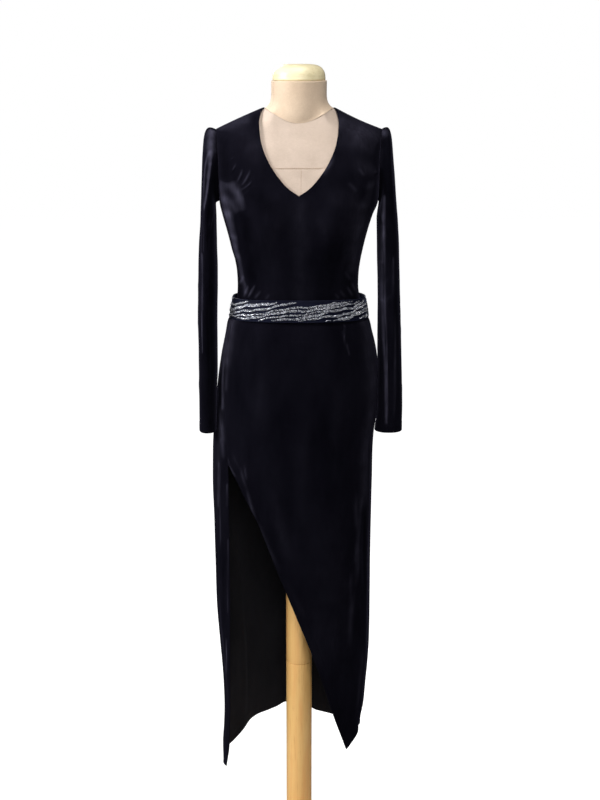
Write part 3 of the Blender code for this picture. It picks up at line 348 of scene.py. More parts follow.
# Skirt: degrees from the front (right side 90, left side -90) and height, in mm.
CREASES_SKIRT_FRONT = [
    # waist darts, sewn in
    (37.4, 1262, 36.0, 1236, 1.7, -1.5, 0.0),
    (36.0, 1236, 38.3, 1184, 1.7, -1.3, 0.0),
    (34.6, 1240, 36.6, 1196, 2.2, 0.7, 0.0),
    (-37.4, 1262, -38.4, 1190, 1.8, -0.9, 0.0),
    # the stretch over the left hip
    (-74, 1176, -69, 1098, 4.5, 1.2, 2.0),
    (-70, 1148, -60, 1064, 5.0, 0.3, 2.0),
    (-71, 1060, -61, 1004, 4.5, 0.8, 2.0),
    (-58, 1010, -55, 958, 3.2, 1.5, 1.0),
    (-63, 1000, -60, 954, 3.0, -1.3, 0.0),
    # crumple at the top of the slit
    (-56, 966, -50, 944, 2.8, 0.8, 0.0),
    (-51, 947, -43, 918, 2.6, 0.9, 1.0),
    (-55, 951, -47, 926, 2.2, -1.6, 0.5),
    (-47, 940, -41, 912, 2.2, -1.6, 0.5),
    (-53, 975, -47, 955, 2.8, -1.3, 0.0),
    (-48, 975, -40, 938, 3.4, 0.3, 1.0),
    (-35.8, 952, -34.0, 914, 2.6, 0.5, 0.5),
    # roll beside the free edge
    (-39.5, 945, -33.5, 893, 3.4, 0.6, 1.5),
    (-33.8, 898, -26.5, 826, 3.4, 1.1, 1.5),
    (-29.0, 882, -20.5, 806, 4.5, -1.3, 1.0),
    (-26.0, 828, -10.0, 708, 4.5, 0.6, 1.0),
    (-8.0, 700, 6.0, 588, 5.0, 0.2, 1.0),
    (-15.0, 900, -4.0, 730, 12.0, 0.7, 3.0),
    # hanging folds towards the right side
    (48.0, 884, 52.0, 768, 9.0, 1.4, 2.0),
    (52.0, 778, 49.5, 660, 9.0, 1.2, -2.0),
    (60.0, 840, 62.0, 640, 7.5, -2.2, 2.0),
    (41.0, 850, 43.0, 660, 8.0, -1.2, 3.0),
    (48.0, 664, 42.5, 520, 9.0, 1.1, 3.0),
    (39.0, 650, 34.0, 440, 9.0, -1.4, 3.0),
    (56.0, 640, 54.0, 430, 8.0, -1.4, 3.0),
    (61.0, 520, 59.0, 330, 8.0, 1.1, 2.0),
    (72.0, 1000, 74.0, 820, 6.0, 1.3, 2.0),
    (30.0, 1160, 26.0, 900, 16.0, 0.6, 4.0),
    (-22.0, 1180, -26.0, 1000, 16.0, 0.5, 4.0),
    (4.0, 1060, 2.0, 760, 16.0, 0.5, 4.0),
]
CREASES_SKIRT_BACK = [
    # strip that shows left of the free edge
    (297.5, 938, 296.0, 850, 3.4, 1.5, 1.0),
    (296.5, 860, 294.0, 740, 3.2, 1.2, 1.0),
    (288.0, 900, 287.0, 640, 4.5, -1.2, 2.0),
    (281.0, 860, 280.0, 560, 5.0, 1.2, 2.0),
    (300.5, 760, 299.0, 540, 3.0, -0.9, 1.0),
    (290.0, 640, 292.0, 360, 4.5, 1.0, 2.0),
    (284.0, 1160, 286.5, 1066, 4.5, 1.3, 2.0),
    (291.5, 1052, 300.5, 1000, 3.6, 1.4, 1.0),
    # folds of the panel behind the slit
    (232.5, 770, 222.5, 600, 7.0, 2.6, 3.0),
    (222.5, 610, 224.5, 270, 7.0, 2.8, 2.0),
    (240.0, 640, 238.0, 300, 9.0, -2.0, 3.0),
    (206.0, 640, 203.0, 300, 8.0, 2.0, 2.0),
    (193.0, 560, 192.0, 300, 7.0, -1.6, 2.0),
    (164.0, 480, 162.0, 290, 7.0, 1.8, 2.0),
    (148.0, 620, 151.0, 300, 8.0, -1.8, 2.0),
    (126.0, 760, 124.0, 330, 9.0, 1.8, 3.0),
    (104.0, 820, 101.0, 380, 8.0, -1.4, 3.0),
    (258.0, 700, 262.0, 280, 8.0, 1.8, 3.0),
    (272.0, 560, 270.0, 250, 7.0, -1.5, 2.0),
    # pulls across the seat and under it
    (118.0, 1190, 158.0, 1150, 9.0, 0.9, 4.0),
    (242.0, 1186, 204.0, 1146, 9.0, 0.9, -4.0),
    (122.0, 1090, 164.0, 1040, 9.0, -1.0, 4.0),
    (238.0, 1086, 198.0, 1036, 9.0, -1.0, -4.0),
    (114.0, 1056, 168.0, 1004, 8.0, 1.1, 4.0),
    (246.0, 1050, 190.0, 1000, 8.0, 1.1, -4.0),
    (140.0, 990, 138.0, 820, 9.0, 1.3, 3.0),
    (222.0, 984, 224.0, 800, 9.0, 1.3, -3.0),
    (178.0, 1000, 180.0, 760, 12.0, -1.2, 3.0),
    (148.0, 1258, 150.0, 1176, 1.9, -1.0, 0.0),
    (212.0, 1258, 210.0, 1176, 1.9, -1.0, 0.0),
]


# Painted highlights (amount above 0) and painted shade (amount below 0) on the velvet: start, end, half width in
# mm, amount. The bodice and the front of each sleeve in mm from the centre and in height, the skirt and the
# rest of each sleeve in degrees and height.
PAINTED_LIGHT_FRONT = [
    (-161, 1541, -160, 1508, 9, 0.16), (-148, 1538, -132, 1530, 9, 0.06),
    (-135, 1538, -120, 1512, 9, 0.14), (-120, 1510, -112, 1488, 8, 0.08),
    (-151, 1509, -149, 1478, 8, 0.24),
    (-146, 1478, -139, 1432, 8, 0.24), (-136, 1428, -131, 1389, 7, 0.22),
    (-127, 1390, -120, 1348, 6, 0.20), (-117, 1344, -112, 1315, 4, 0.12),
    (-139, 1505, -130, 1490, 7, 0.06), (-160, 1650, -108, 1668, 9, 0.10),
    (64, 1597, 50, 1568, 6, 0.16), (0, 1500, 2, 1313, 16, 0.03),
    (78, 1668, 152, 1640, 14, 0.125), (80, 1636, 140, 1622, 20, 0.06),
    (-104, 1636, -84, 1600, 18, 0.03), (124, 1579, 162, 1563, 13, 0.05),
    (149, 1538, 137, 1498, 7, 0.05), (121, 1451, 112, 1365, 11, 0.09),
    (130, 1492, 127, 1456, 13, 0.08), (80, 1516, 112, 1502, 20, 0.03),
    (166, 1585, 160, 1571, 4, 0.10),
    (-160, 1622, -152, 1562, 14, -0.45), (-108, 1470, -96, 1350, 13, -0.45),
    (-90, 1520, -60, 1500, 16, -0.40), (168, 1610, 164, 1520, 7, -0.35),
    (64, 1420, 60, 1350, 16, -0.15),
    (108, 1470, 100, 1400, 22, 0.025),
]
PAINTED_LIGHT_BACK = [
    (-146, 1500, -128, 1390, 9, 0.22), (146, 1500, 128, 1390, 9, 0.14),
    (-90, 1640, -130, 1600, 22, 0.08), (90, 1640, 130, 1600, 22, 0.06),
    (-40, 1600, -30, 1460, 20, 0.04), (44, 1560, 36, 1440, 18, 0.03),
    (-60, 1420, -70, 1350, 12, 0.06),
]
PAINTED_LIGHT_SLEEVE_LEFT_FRONT = [
    (-179, 1648, -181, 1612, 7, 0.42), (-181.5, 1602, -181, 1582, 4.5, 0.50),
    (-181.5, 1578, -185, 1552, 3.0, 0.48), (-185.5, 1548, -189.5, 1520, 2.2, 0.46),
    (-190.5, 1515, -195, 1492, 1.9, 0.45), (-195.5, 1488, -198, 1400, 1.7, 0.26),
    (-200, 1395, -201, 1278, 1.8, 0.28), (-202, 1274, -203, 1188, 1.7, 0.24),
    (-172, 1585, -176, 1500, 6, -0.60), (-186, 1480, -190, 1030, 12, -0.40),
]
PAINTED_LIGHT_SLEEVE_RIGHT_FRONT = [
    (175, 1512, 174, 1453, 3.4, 0.46), (173.5, 1449, 173, 1379, 4.2, 0.46),
    (171, 1375, 173, 1299, 3.9, 0.30), (174, 1295, 178, 1218, 3.4, 0.20),
    (178, 1214, 183, 1142, 2.4, 0.22), (183, 1138, 186, 1035, 2.3, 0.30),
    (162, 1648, 174, 1640, 8, 0.30), (162, 1632, 160, 1569, 10, 0.06),
    (187, 1620, 196, 1400, 9, -0.30), (170, 1560, 168, 1515, 5, -0.40),
]
PAINTED_LIGHT_SLEEVE_LEFT = [
    (-32, 1510, -25, 1370, 8, 0.12), (-24, 1270, -34, 1130, 6, 0.10),
    (-78, 1500, -70, 1400, 4, 0.20), (-112, 1340, -102, 1180, 4, 0.14), (4, 1580, 0, 1500, 7, 0.08),
]
PAINTED_LIGHT_SLEEVE_RIGHT = [
    (-34, 1520, -26, 1390, 7, 0.18), (-22, 1270, -30, 1140, 6, 0.14),
    (-80, 1490, -72, 1390, 4, 0.22), (-110, 1330, -100, 1170, 4, 0.16), (6, 1580, 2, 1490, 7, 0.10),
]
PAINTED_LIGHT_SKIRT = [
    (-76, 1252, -76, 1206, 26, 0.72), (-75, 1196, -71, 1166, 19, 0.62),
    (-70.5, 1160, -64.5, 1066, 4.6, 0.90), (-63.5, 1165, -61, 1110, 6, 0.09),
    (-66.5, 1058, -65, 1030, 9.5, 0.27), (-64, 1018, -62.5, 1000, 10, 0.42),
    (-60.5, 984, -59, 962, 6, 0.13), (-66, 975, -66, 940, 10, 0.05),
    (-65.5, 938, -68, 842, 4, 0.14),
    (-53.3, 899, -53.9, 851, 1.5, 0.22), (-54.1, 771, -56.6, 601, 1.5, 0.14),
    (-62.3, 531, -68.2, 449, 1.7, 0.38), (68, 1245, 66, 1130, 30, 0.095), (66, 1105, 62, 975, 20, 0.10), (61, 945, 60, 870, 20, 0.085), (20, 760, 24, 520, 60, 0.02),
    (56, 861, 49, 728, 6.5, 0.07), (43.6, 692, 43.1, 563, 5, 0.035), (62, 820, 64, 640, 5, -0.50),
    (-62, 700, -66, 560, 5, -0.30),
    (37.9, 1252, 35.9, 1228, 1.7, 0.10),
    (36.7, 1209, 37.8, 1190, 1.7, 0.10),
]
# painted highlights on the sides and back of the skirt, which the front view doesn't show
PAINTED_LIGHT_SKIRT_BACK = [
    (97, 1130, 98, 930, 12, 0.11), (107, 840, 103, 560, 11, 0.12),
    (150, 1180, 142, 1070, 22, 0.08), (-146, 1170, -138, 1070, 22, 0.09),
    (-113, 1180, -105, 1040, 18, 0.13), (-101, 940, -97, 720, 15, 0.08),
    (158, 860, 161, 520, 13, 0.07), (-154, 900, -151, 480, 13, 0.09), (131, 820, 127, 460, 10, 0.07),
    (176, 1000, 172, 760, 16, 0.03), (-122, 700, -118, 440, 14, 0.05),
]


# ------------------------------------------------------------------ surfaces
def lerp(a, b, t):
    return a + (b - a) * t


def bulge(u, n):
    return np.maximum(1.0 - np.abs(u) ** n, 0.0) ** (1.0 / n)


def smooth(t):
    t = np.clip(t, 0.0, 1.0)
    return t * t * (3.0 - 2.0 * t)


def shoulder_dip(x):
    along = np.clip((np.abs(x) - HPS_X) / (TIP_X - HPS_X), 0.0, 1.0)
    return np.where(np.asarray(x) < 0, SHOULDER_DIP[-1], SHOULDER_DIP[1]) * np.sin(math.pi * along)


def shoulder_height(x):
    along = (np.abs(x) - HPS_X) / (TIP_X - HPS_X)
    return HPS_Z - along * (HPS_Z - TIP_Z) - shoulder_dip(x)


def torso_y(x, z, back=False, inset=0.0, neck_fillet=0.0):
    side = np.where(x < 0, FIGURE("left", z), FIGURE("right", z)) - inset
    spare = np.ones_like(x + 0.0) if back else smooth((np.abs(x) - 0.050) / 0.04)
    deep = FIGURE("back" if back else "front", z) - inset * (
        1.0 + 0.9 * smooth((z - 1.52) / 0.06) * spare
        + (0.7 * smooth((z - 1.63) / 0.03) if back else 0.0))
    square = FIGURE("nb" if back else "nf", z)
    profile = bulge(np.minimum(np.abs(x) / side, 1.0), square)
    top = (shoulder_height(x) - inset * (1.0 + smooth((np.abs(x) - 0.066) / 0.02))
           + neck_fillet * np.exp(-(np.abs(x) - NECK_R) / 0.006))
    roll = np.clip((top - z) / SHOULDER_ROUND, 0.0, 1.0)
    roll = np.sqrt(np.maximum(1.0 - (1.0 - roll) ** 2, 0.0))
    depth = deep * profile
    if not back:
        depth = depth + BUST_OUT * profile * np.exp(
            -((np.abs(x) - BUST_X) / BUST_WIDE) ** 2 - ((z - BUST_Z) / BUST_TALL) ** 2)
    depth = depth * roll
    return FIGURE("mid", z) + (depth if back else -depth)


def armhole(phi, side):
    phi = np.atleast_1d(np.asarray(phi, dtype=float))
    theta, back = np.abs(phi), phi < 0
    z = ARMHOLE_Z + ARMHOLE_HIGH * np.cos(theta)
    y = (ARMHOLE_Y * (1.0 - smooth((theta - 2.0) / 1.1))
         + np.where(back, ARMHOLE_BACK, -ARMHOLE_FRONT) * np.sin(theta))
    low = np.full_like(z, 0.10)
    high = np.where(side < 0, FIGURE("left", z), FIGURE("right", z))
    for _ in range(40):
        x = 0.5 * (low + high)
        here = np.where(back, torso_y(side * x, z, True), torso_y(side * x, z, False))
        inside = np.where(back, here > y, here < y)
        low, high = np.where(inside, x, low), np.where(inside, high, x)
    x = np.where(theta < 1e-6, TIP_X, 0.5 * (low + high))
    z = np.where(theta < 1e-6, TIP_Z, z)
    return np.stack([side * x, y, z], axis=-1)


def skirt_point(angle, z):
    a = np.radians(angle)
    s, c = np.sin(a), np.cos(a)
    side = np.where(s < 0, SKIRT("left", z), SKIRT("right", z))
    deep = np.where(c > 0, SKIRT("front", z), SKIRT("back", z))
    n = np.where(c > 0, SKIRT("nf", z), SKIRT("nb", z))
    x = side * np.sign(s) * np.abs(s) ** (2.0 / n)
    y = -deep * np.sign(c) * np.abs(c) ** (2.0 / n)
    r = np.sqrt(x * x + y * y)
    fold = 0.0
    for centre, width, amount, z_from, z_to in FOLDS.rows:
        grow = smooth((z_from - z) / (z_from - z_to))
        fold = fold + amount * grow * np.exp(-((angle - centre) / width) ** 2)
    grow = 1.0 + fold / r
    return np.stack([x * grow, y * grow, z + np.zeros_like(x)], axis=-1)


def skirt_angle(x, z):
    side = np.where(x < 0, SKIRT("left", z), SKIRT("right", z))
    u = np.clip(np.abs(x) / side, 0.0, 1.0)
    return np.sign(x) * np.degrees(np.arcsin(u ** (SKIRT("nf", z) / 2.0)))


def creases(u, v, rows, scale=1.0):
    """Height of the creases at (u, v), in mm. scale is the mm that one step of u is."""
    total = np.zeros(np.broadcast(u, v).shape)
    for u0, v0, u1, v1, width, out, bow in rows:
        du, dv = (u1 - u0) * scale, v1 - v0
        length = math.hypot(du, dv)
        pu, pv = (u - u0) * scale, v - v0
        t = (pu * du + pv * dv) / length ** 2
        off = (pu * dv - pv * du) / length - bow * 4.0 * t * (1.0 - t)
        core = np.clip(t, 0.0, 1.0)
        fade = np.sin(math.pi * core) ** 0.7
        shape = np.exp(-(off / width) ** 2) - 0.30 * np.exp(-((off - 2.1 * width) / (1.3 * width)) ** 2)
        total += out * fade * shape * (t > 0) * (t < 1)
    return total


def painted_ridge_highlight(u, v, rows, scale=1.0, most=0.30):
    """Painted highlight along the ridges of the creases that stand out, 0 to most."""
    total = np.zeros(np.broadcast(u, v).shape)
    for u0, v0, u1, v1, width, out, bow in rows:
        if out <= 0:
            continue
        du, dv = (u1 - u0) * scale, v1 - v0
        length = math.hypot(du, dv)
        pu, pv = (u - u0) * scale, v - v0
        t = (pu * du + pv * dv) / length ** 2
        off = (pu * dv - pv * du) / length - bow * 4.0 * t * (1.0 - t)
        fade = np.sin(math.pi * np.clip(t, 0.0, 1.0))
        total += min(most, 0.5 * out / width) * fade * np.exp(-(off / (0.75 * width)) ** 2) * (t > 0) * (t < 1)
    return total


def painted_light_patches(u, v, rows, scale=1.0, fade=0.0):
    """Painted highlights (amount above 0) and painted shade (amount below 0): start, end, half
    width in mm, amount. They fade out past each end over their half width, or over this share of their length if
    that is more."""
    total = np.zeros(np.broadcast(u, v).shape)
    for u0, v0, u1, v1, width, amount in rows:
        du, dv = (u1 - u0) * scale, v1 - v0
        length = math.hypot(du, dv) + 1e-6
        pu, pv = (u - u0) * scale, v - v0
        t = (pu * du + pv * dv) / length ** 2
        off = (pu * dv - pv * du) / length
        past = np.maximum(np.maximum(-t, t - 1.0), 0.0) * length
        total += amount * np.exp(-(off / width) ** 2 - (past / max(width, fade * length)) ** 2)
    return total


def ripple(u, v, seed, size, count=7):
    """Soft unevenness made of a few long waves, about -1 to 1."""
    rng = np.random.default_rng(seed)
    total = 0.0
    for _ in range(count):
        angle, phase = rng.uniform(0, math.pi), rng.uniform(0, 2 * math.pi)
        k = 2 * math.pi / (size * rng.uniform(0.6, 1.8))
        total = total + np.sin(k * (u * math.cos(angle) + v * math.sin(angle)) + phase)
    return total / count ** 0.5 * 0.8


# ------------------------------------------------------------------ meshes of cloth
class Cloth:
    """A sheet of quads made of grids that share their edges."""

    def __init__(self):
        self.p, self.q, self.count = [], [], 0

    def add(self, grid, flip=False):
        rows, cols = grid.shape[:2]
        ids = np.arange(rows * cols).reshape(rows, cols) + self.count
        quad = np.stack([ids[:-1, :-1], ids[:-1, 1:], ids[1:, 1:], ids[1:, :-1]], -1)
        quad = quad.reshape(-1, 4)
        self.p.append(grid.reshape(-1, 3))
        self.q.append(quad[:, ::-1] if flip else quad)
        self.count += rows * cols

    def weld(self):
        p = np.vstack(self.p)
        q = np.vstack(self.q)
        key = np.round(p / 2e-6).astype(np.int64)
        _, first, back = np.unique(key, axis=0, return_index=True, return_inverse=True)
        back = back.ravel()
        self.points, self.quads, self.first = p[first].copy(), back[q], first
        area = np.linalg.norm(np.cross(
            self.points[self.quads[:, 2]] - self.points[self.quads[:, 0]],
            self.points[self.quads[:, 3]] - self.points[self.quads[:, 1]]), axis=1)
        self.quads = self.quads[area > 1e-10]
        return self

    def normals(self):
        p, q = self.points, self.quads
        n = np.cross(p[q[:, 2]] - p[q[:, 0]], p[q[:, 3]] - p[q[:, 1]])
        total = np.zeros_like(p)
        for k in range(4):
            np.add.at(total, q[:, k], n)
        return total / np.maximum(np.linalg.norm(total, axis=1), 1e-12)[:, None]

    def rim(self):
        """Boundary edges (a, b), in the direction of their faces."""
        q, n = self.quads, len(self.points)
        a = np.concatenate([q[:, k] for k in range(4)])
        b = np.concatenate([q[:, (k + 1) % 4] for k in range(4)])
        keep = a != b
        a, b = a[keep], b[keep]
        lone = ~np.isin(a * n + b, b * n + a)
        return a[lone], b[lone]

    def distance(self, which):
        """Distance of each point from the rim's points that which(points) picks."""
        a, b = self.rim()
        ids = np.unique(np.concatenate([a, b]))
        line = self.points[ids]
        line = line[which(line)]
        out = np.full(len(self.points), 1.0)
        if len(line) == 0:
            return out
        for i in range(0, len(self.points), 4000):
            part = self.points[i:i + 4000]
            d = ((part[:, None, :] - line[None]) ** 2).sum(-1).min(1)
            out[i:i + 4000] = np.sqrt(d)
        return out

    def push(self, amount):
        self.points += self.normals() * np.asarray(amount)[:, None]

    def shell(self, name, thickness, outside, inside, painted_light=None):
        """A thin wall with rounded edges: outer face, turned edge, inner face."""
        p, q, n = self.points, self.quads, self.normals()
        a, b = self.rim()
        count = len(p)
        inner = p - n * thickness
        ids = np.unique(np.concatenate([a, b]))
        where = np.full(count, -1)
        where[ids] = np.arange(len(ids))
        out = np.zeros((len(ids), 3))
        edge = np.cross(p[b] - p[a], n[a] + n[b])
        np.add.at(out, where[a], edge)
        np.add.at(out, where[b], edge)
        out /= np.maximum(np.linalg.norm(out, axis=1), 1e-12)[:, None]
        ring = []
        for share, reach in ((0.15, 0.36), (0.5, 0.50), (0.85, 0.36)):
            ring.append(p[ids] - n[ids] * thickness * share + out * thickness * reach)
        points = np.vstack([p, inner] + ring)
        base = [2 * count + k * len(ids) for k in range(3)]
        wa, wb = where[a], where[b]
        levels = [(a, b)] + [(wa + s, wb + s) for s in base] + [(a + count, b + count)]
        faces = [q, q[:, ::-1] + count]
        for (a0, b0), (a1, b1) in zip(levels, levels[1:]):
            faces.append(np.stack([b0, a0, a1, b1], -1))
        materials = np.concatenate([np.zeros(len(q), int), np.ones(len(q), int)]
                                   + [np.zeros(len(a), int)] * 4)
        obj = make(name, points, np.vstack(faces), [outside, inside], materials)
        # painted highlights and painted shade per point: full on the outer face, none on the inner face, half on
        # the turned edge
        painted_light_per_point = np.zeros(len(points))
        if painted_light is not None:
            painted_light_per_point[:count] = painted_light
            painted_light_per_point[2 * count:] = np.tile(0.5 * painted_light[ids], 3)
        pile_and_painted_light = obj.data.attributes.new("painted_light", "FLOAT", "POINT")
        pile_and_painted_light.data.foreach_set("value", painted_light_per_point.astype(np.float32))
        return obj


def make(name, points, faces, materials, index=None, flat=False):
    mesh = bpy.data.meshes.new(name)
    faces = np.asarray(faces)
    repeat = np.zeros(len(faces), bool)
    for i in range(faces.shape[1]):
        repeat |= faces[:, i] == faces[:, (i + 1) % faces.shape[1]]
    listed = [list(dict.fromkeys(f)) if r else list(f)
              for f, r in zip(faces.tolist(), repeat)]
    keep = [len(f) > 2 for f in listed]
    mesh.from_pydata(points.tolist(), [], [f for f, k in zip(listed, keep) if k])
    for m in materials:
        mesh.materials.append(m)
    if index is not None:
        mesh.polygons.foreach_set("material_index", np.asarray(index)[keep].astype(np.int32))
    mesh.polygons.foreach_set("use_smooth", np.full(len(mesh.polygons), not flat))
    mesh.update()
    obj = bpy.data.objects.new(name, mesh)
    bpy.context.scene.collection.objects.link(obj)
    return obj


# ------------------------------------------------------------------ materials
def fresh(name):
    m = bpy.data.materials.new(name)
    m.use_nodes = True
    return m, m.node_tree, m.node_tree.nodes["Principled BSDF"]


def node(tree, kind, **values):
    n = tree.nodes.new(kind)
    for key, value in values.items():
        if key in n.inputs:
            n.inputs[key].default_value = value
        else:
            setattr(n, key, value)
    return n


def noise(tree, coord, scale, detail=2.0, rough=0.5, stretch=(1, 1, 1)):
    mapping = node(tree, "ShaderNodeMapping")
    mapping.inputs["Scale"].default_value = stretch
    tree.links.new(coord, mapping.inputs["Vector"])
    n = node(tree, "ShaderNodeTexNoise")
    n.inputs["Scale"].default_value = scale
    n.inputs["Detail"].default_value = detail
    n.inputs["Roughness"].default_value = rough
    tree.links.new(mapping.outputs["Vector"], n.inputs["Vector"])
    return n.outputs["Fac"]


def ramp(tree, value, stops):
    r = node(tree, "ShaderNodeValToRGB")
    tree.links.new(value, r.inputs["Fac"])
    while len(r.color_ramp.elements) < len(stops):
        r.color_ramp.elements.new(0.5)
    for e, (at, colour) in zip(r.color_ramp.elements, stops):
        e.position = at
        e.color = (*colour, 1.0)
    return r.outputs["Color"]


def span(tree, value, low, high, to_low, to_high):
    m = node(tree, "ShaderNodeMapRange")
    tree.links.new(value, m.inputs["Value"])
    for key, v in zip(("From Min", "From Max", "To Min", "To Max"), (low, high, to_low, to_high)):
        m.inputs[key].default_value = v
    return m.outputs["Result"]


def bump(tree, height, strength, distance, before=None):
    b = node(tree, "ShaderNodeBump")
    b.inputs["Strength"].default_value = strength
    b.inputs["Distance"].default_value = distance
    tree.links.new(height, b.inputs["Height"])
    if before is not None:
        tree.links.new(before, b.inputs["Normal"])
    return b.outputs["Normal"]


def velvet(name, dark, light, painted_highlight_colour, rough, sheen, sheen_rough, tint, gloss):
    """Short-piled velvet: nearly black where it is looked into, a cool sheen where it leans
    away, painted highlights where the mesh's "painted_light" is above 0 and painted shade where it is below 0."""
    m, tree, shader = fresh(name)
    coord = node(tree, "ShaderNodeTexCoord").outputs["Object"]
    cloud = noise(tree, coord, 22.0, 3.0, 0.55, (1.0, 1.0, 0.35))
    streak = noise(tree, coord, 160.0, 3.0, 0.6, (1.0, 1.0, 0.16))
    painted_light = node(tree, "ShaderNodeAttribute", attribute_name="painted_light").outputs["Fac"]
    # painted highlight: painted_light above 0 mixes in painted_highlight_colour; painted shade: below 0 it
    # darkens the colour, down to a quarter
    uneven = node(tree, "ShaderNodeMath", operation="MULTIPLY", use_clamp=True)
    tree.links.new(painted_light, uneven.inputs[0])
    tree.links.new(span(tree, streak, 0.3, 0.7, 0.72, 1.28), uneven.inputs[1])
    deep = node(tree, "ShaderNodeMix", data_type="RGBA", blend_type="MULTIPLY")
    deep.inputs[0].default_value = 1.0
    tree.links.new(ramp(tree, cloud, [(0.30, dark), (0.72, light)]), deep.inputs[6])
    tree.links.new(span(tree, painted_light, -1.0, 0.0, 0.25, 1.0), deep.inputs[7])
    both = node(tree, "ShaderNodeMix", data_type="RGBA")
    tree.links.new(uneven.outputs[0], both.inputs[0])
    tree.links.new(deep.outputs[2], both.inputs[6])
    both.inputs[7].default_value = (*painted_highlight_colour, 1.0)
    tree.links.new(both.outputs[2], shader.inputs["Base Color"])
    tree.links.new(span(tree, cloud, 0.3, 0.7, rough + 0.05, rough - 0.05), shader.inputs["Roughness"])
    shader.inputs["Specular IOR Level"].default_value = gloss
    shader.inputs["Sheen Weight"].default_value = sheen
    shader.inputs["Sheen Roughness"].default_value = sheen_rough
    shader.inputs["Sheen Tint"].default_value = (*tint, 1.0)
    pile_and_painted_light = noise(tree, coord, 2400.0, 1.0, 0.5, (1.0, 1.0, 0.55))
    brushed = noise(tree, coord, 70.0, 3.0, 0.6, (1.0, 1.0, 0.45))
    soft = bump(tree, brushed, 0.10, 0.0012)
    tree.links.new(bump(tree, pile_and_painted_light, 0.40, 0.0003, soft), shader.inputs["Normal"])
    return m


VELVET = velvet("velvet", (0.0026, 0.0025, 0.0046), (0.0052, 0.0050, 0.0086), (0.094, 0.091, 0.138),
                0.50, 0.28, 0.36, (0.10, 0.097, 0.16), 0.0)
REVERSE = velvet("velvet_reverse", (0.0092, 0.0092, 0.0112), (0.0132, 0.0132, 0.0160), (0.05, 0.05, 0.055),
                 0.75, 0.12, 0.5, (0.6, 0.6, 0.7), 0.03)
BAND = velvet("belt_velvet", (0.0030, 0.0038, 0.0110), (0.0060, 0.0074, 0.0200), (0.030, 0.034, 0.060),
              0.50, 0.12, 0.35, (0.46, 0.52, 0.95), 0.05)


def metal_bead(name, colour, rough, metallic, coat=0.0):
    m, tree, shader = fresh(name)
    coord = node(tree, "ShaderNodeTexCoord").outputs["Object"]
    fleck = noise(tree, coord, 500.0, 1.0)
    low = tuple(0.55 * c for c in colour)
    tree.links.new(ramp(tree, fleck, [(0.35, low), (0.62, colour)]), shader.inputs["Base Color"])
    shader.inputs["Metallic"].default_value = metallic
    shader.inputs["Roughness"].default_value = rough
    shader.inputs["Coat Weight"].default_value = coat
    return m


SILVER = metal_bead("bead_silver", (0.56, 0.58, 0.65), 0.24, 0.85)
GLASS = metal_bead("bead_glass", (0.60, 0.63, 0.70), 0.10, 0.0, 1.0)
STEEL = metal_bead("bead_steel", (0.16, 0.18, 0.24), 0.25, 0.9)


def linen(name, low, high):
    """Plain-woven linen drawn tight over the form."""
    m, tree, shader = fresh(name)
    coord = node(tree, "ShaderNodeTexCoord").outputs["Object"]
    blotch = noise(tree, coord, 26.0, 4.0, 0.6)
    slub = noise(tree, coord, 220.0, 2.0, 0.6, (1.0, 1.0, 6.0))
    slub2 = noise(tree, coord, 220.0, 2.0, 0.6, (6.0, 6.0, 1.0))
    mix = node(tree, "ShaderNodeMath", operation="ADD")
    tree.links.new(slub, mix.inputs[0])
    tree.links.new(slub2, mix.inputs[1])
    colour = ramp(tree, blotch, [(0.30, low), (0.70, high)])
    thread = ramp(tree, span(tree, mix.outputs[0], 0.7, 1.3, 0.0, 1.0),
                  [(0.0, (0.88, 0.86, 0.84)), (1.0, (1.0, 1.0, 1.0))])
    both = node(tree, "ShaderNodeMix", data_type="RGBA", blend_type="MULTIPLY")
    both.inputs[0].default_value = 1.0
    tree.links.new(colour, both.inputs[6])
    tree.links.new(thread, both.inputs[7])
    tree.links.new(both.outputs[2], shader.inputs["Base Color"])
    shader.inputs["Roughness"].default_value = 0.85
    shader.inputs["Specular IOR Level"].default_value = 0.2
    shader.inputs["Sheen Weight"].default_value = 0.1
    tree.links.new(bump(tree, mix.outputs[0], 0.35, 0.0005), shader.inputs["Normal"])
    return m


LINEN = linen("linen", (0.51, 0.42, 0.352), (0.59, 0.492, 0.42))
LINEN_NECK = linen("linen_neck", (0.62, 0.485, 0.36), (0.71, 0.575, 0.44))


def thread(name, colour):
    m, tree, shader = fresh(name)
    coord = node(tree, "ShaderNodeTexCoord").outputs["Object"]
    twist = noise(tree, coord, 900.0, 1.0)
    low = tuple(0.75 * c for c in colour)
    tree.links.new(ramp(tree, twist, [(0.3, low), (0.7, colour)]), shader.inputs["Base Color"])
    shader.inputs["Roughness"].default_value = 0.8
    return m


THREAD = thread("form_thread", (0.46, 0.31, 0.21))


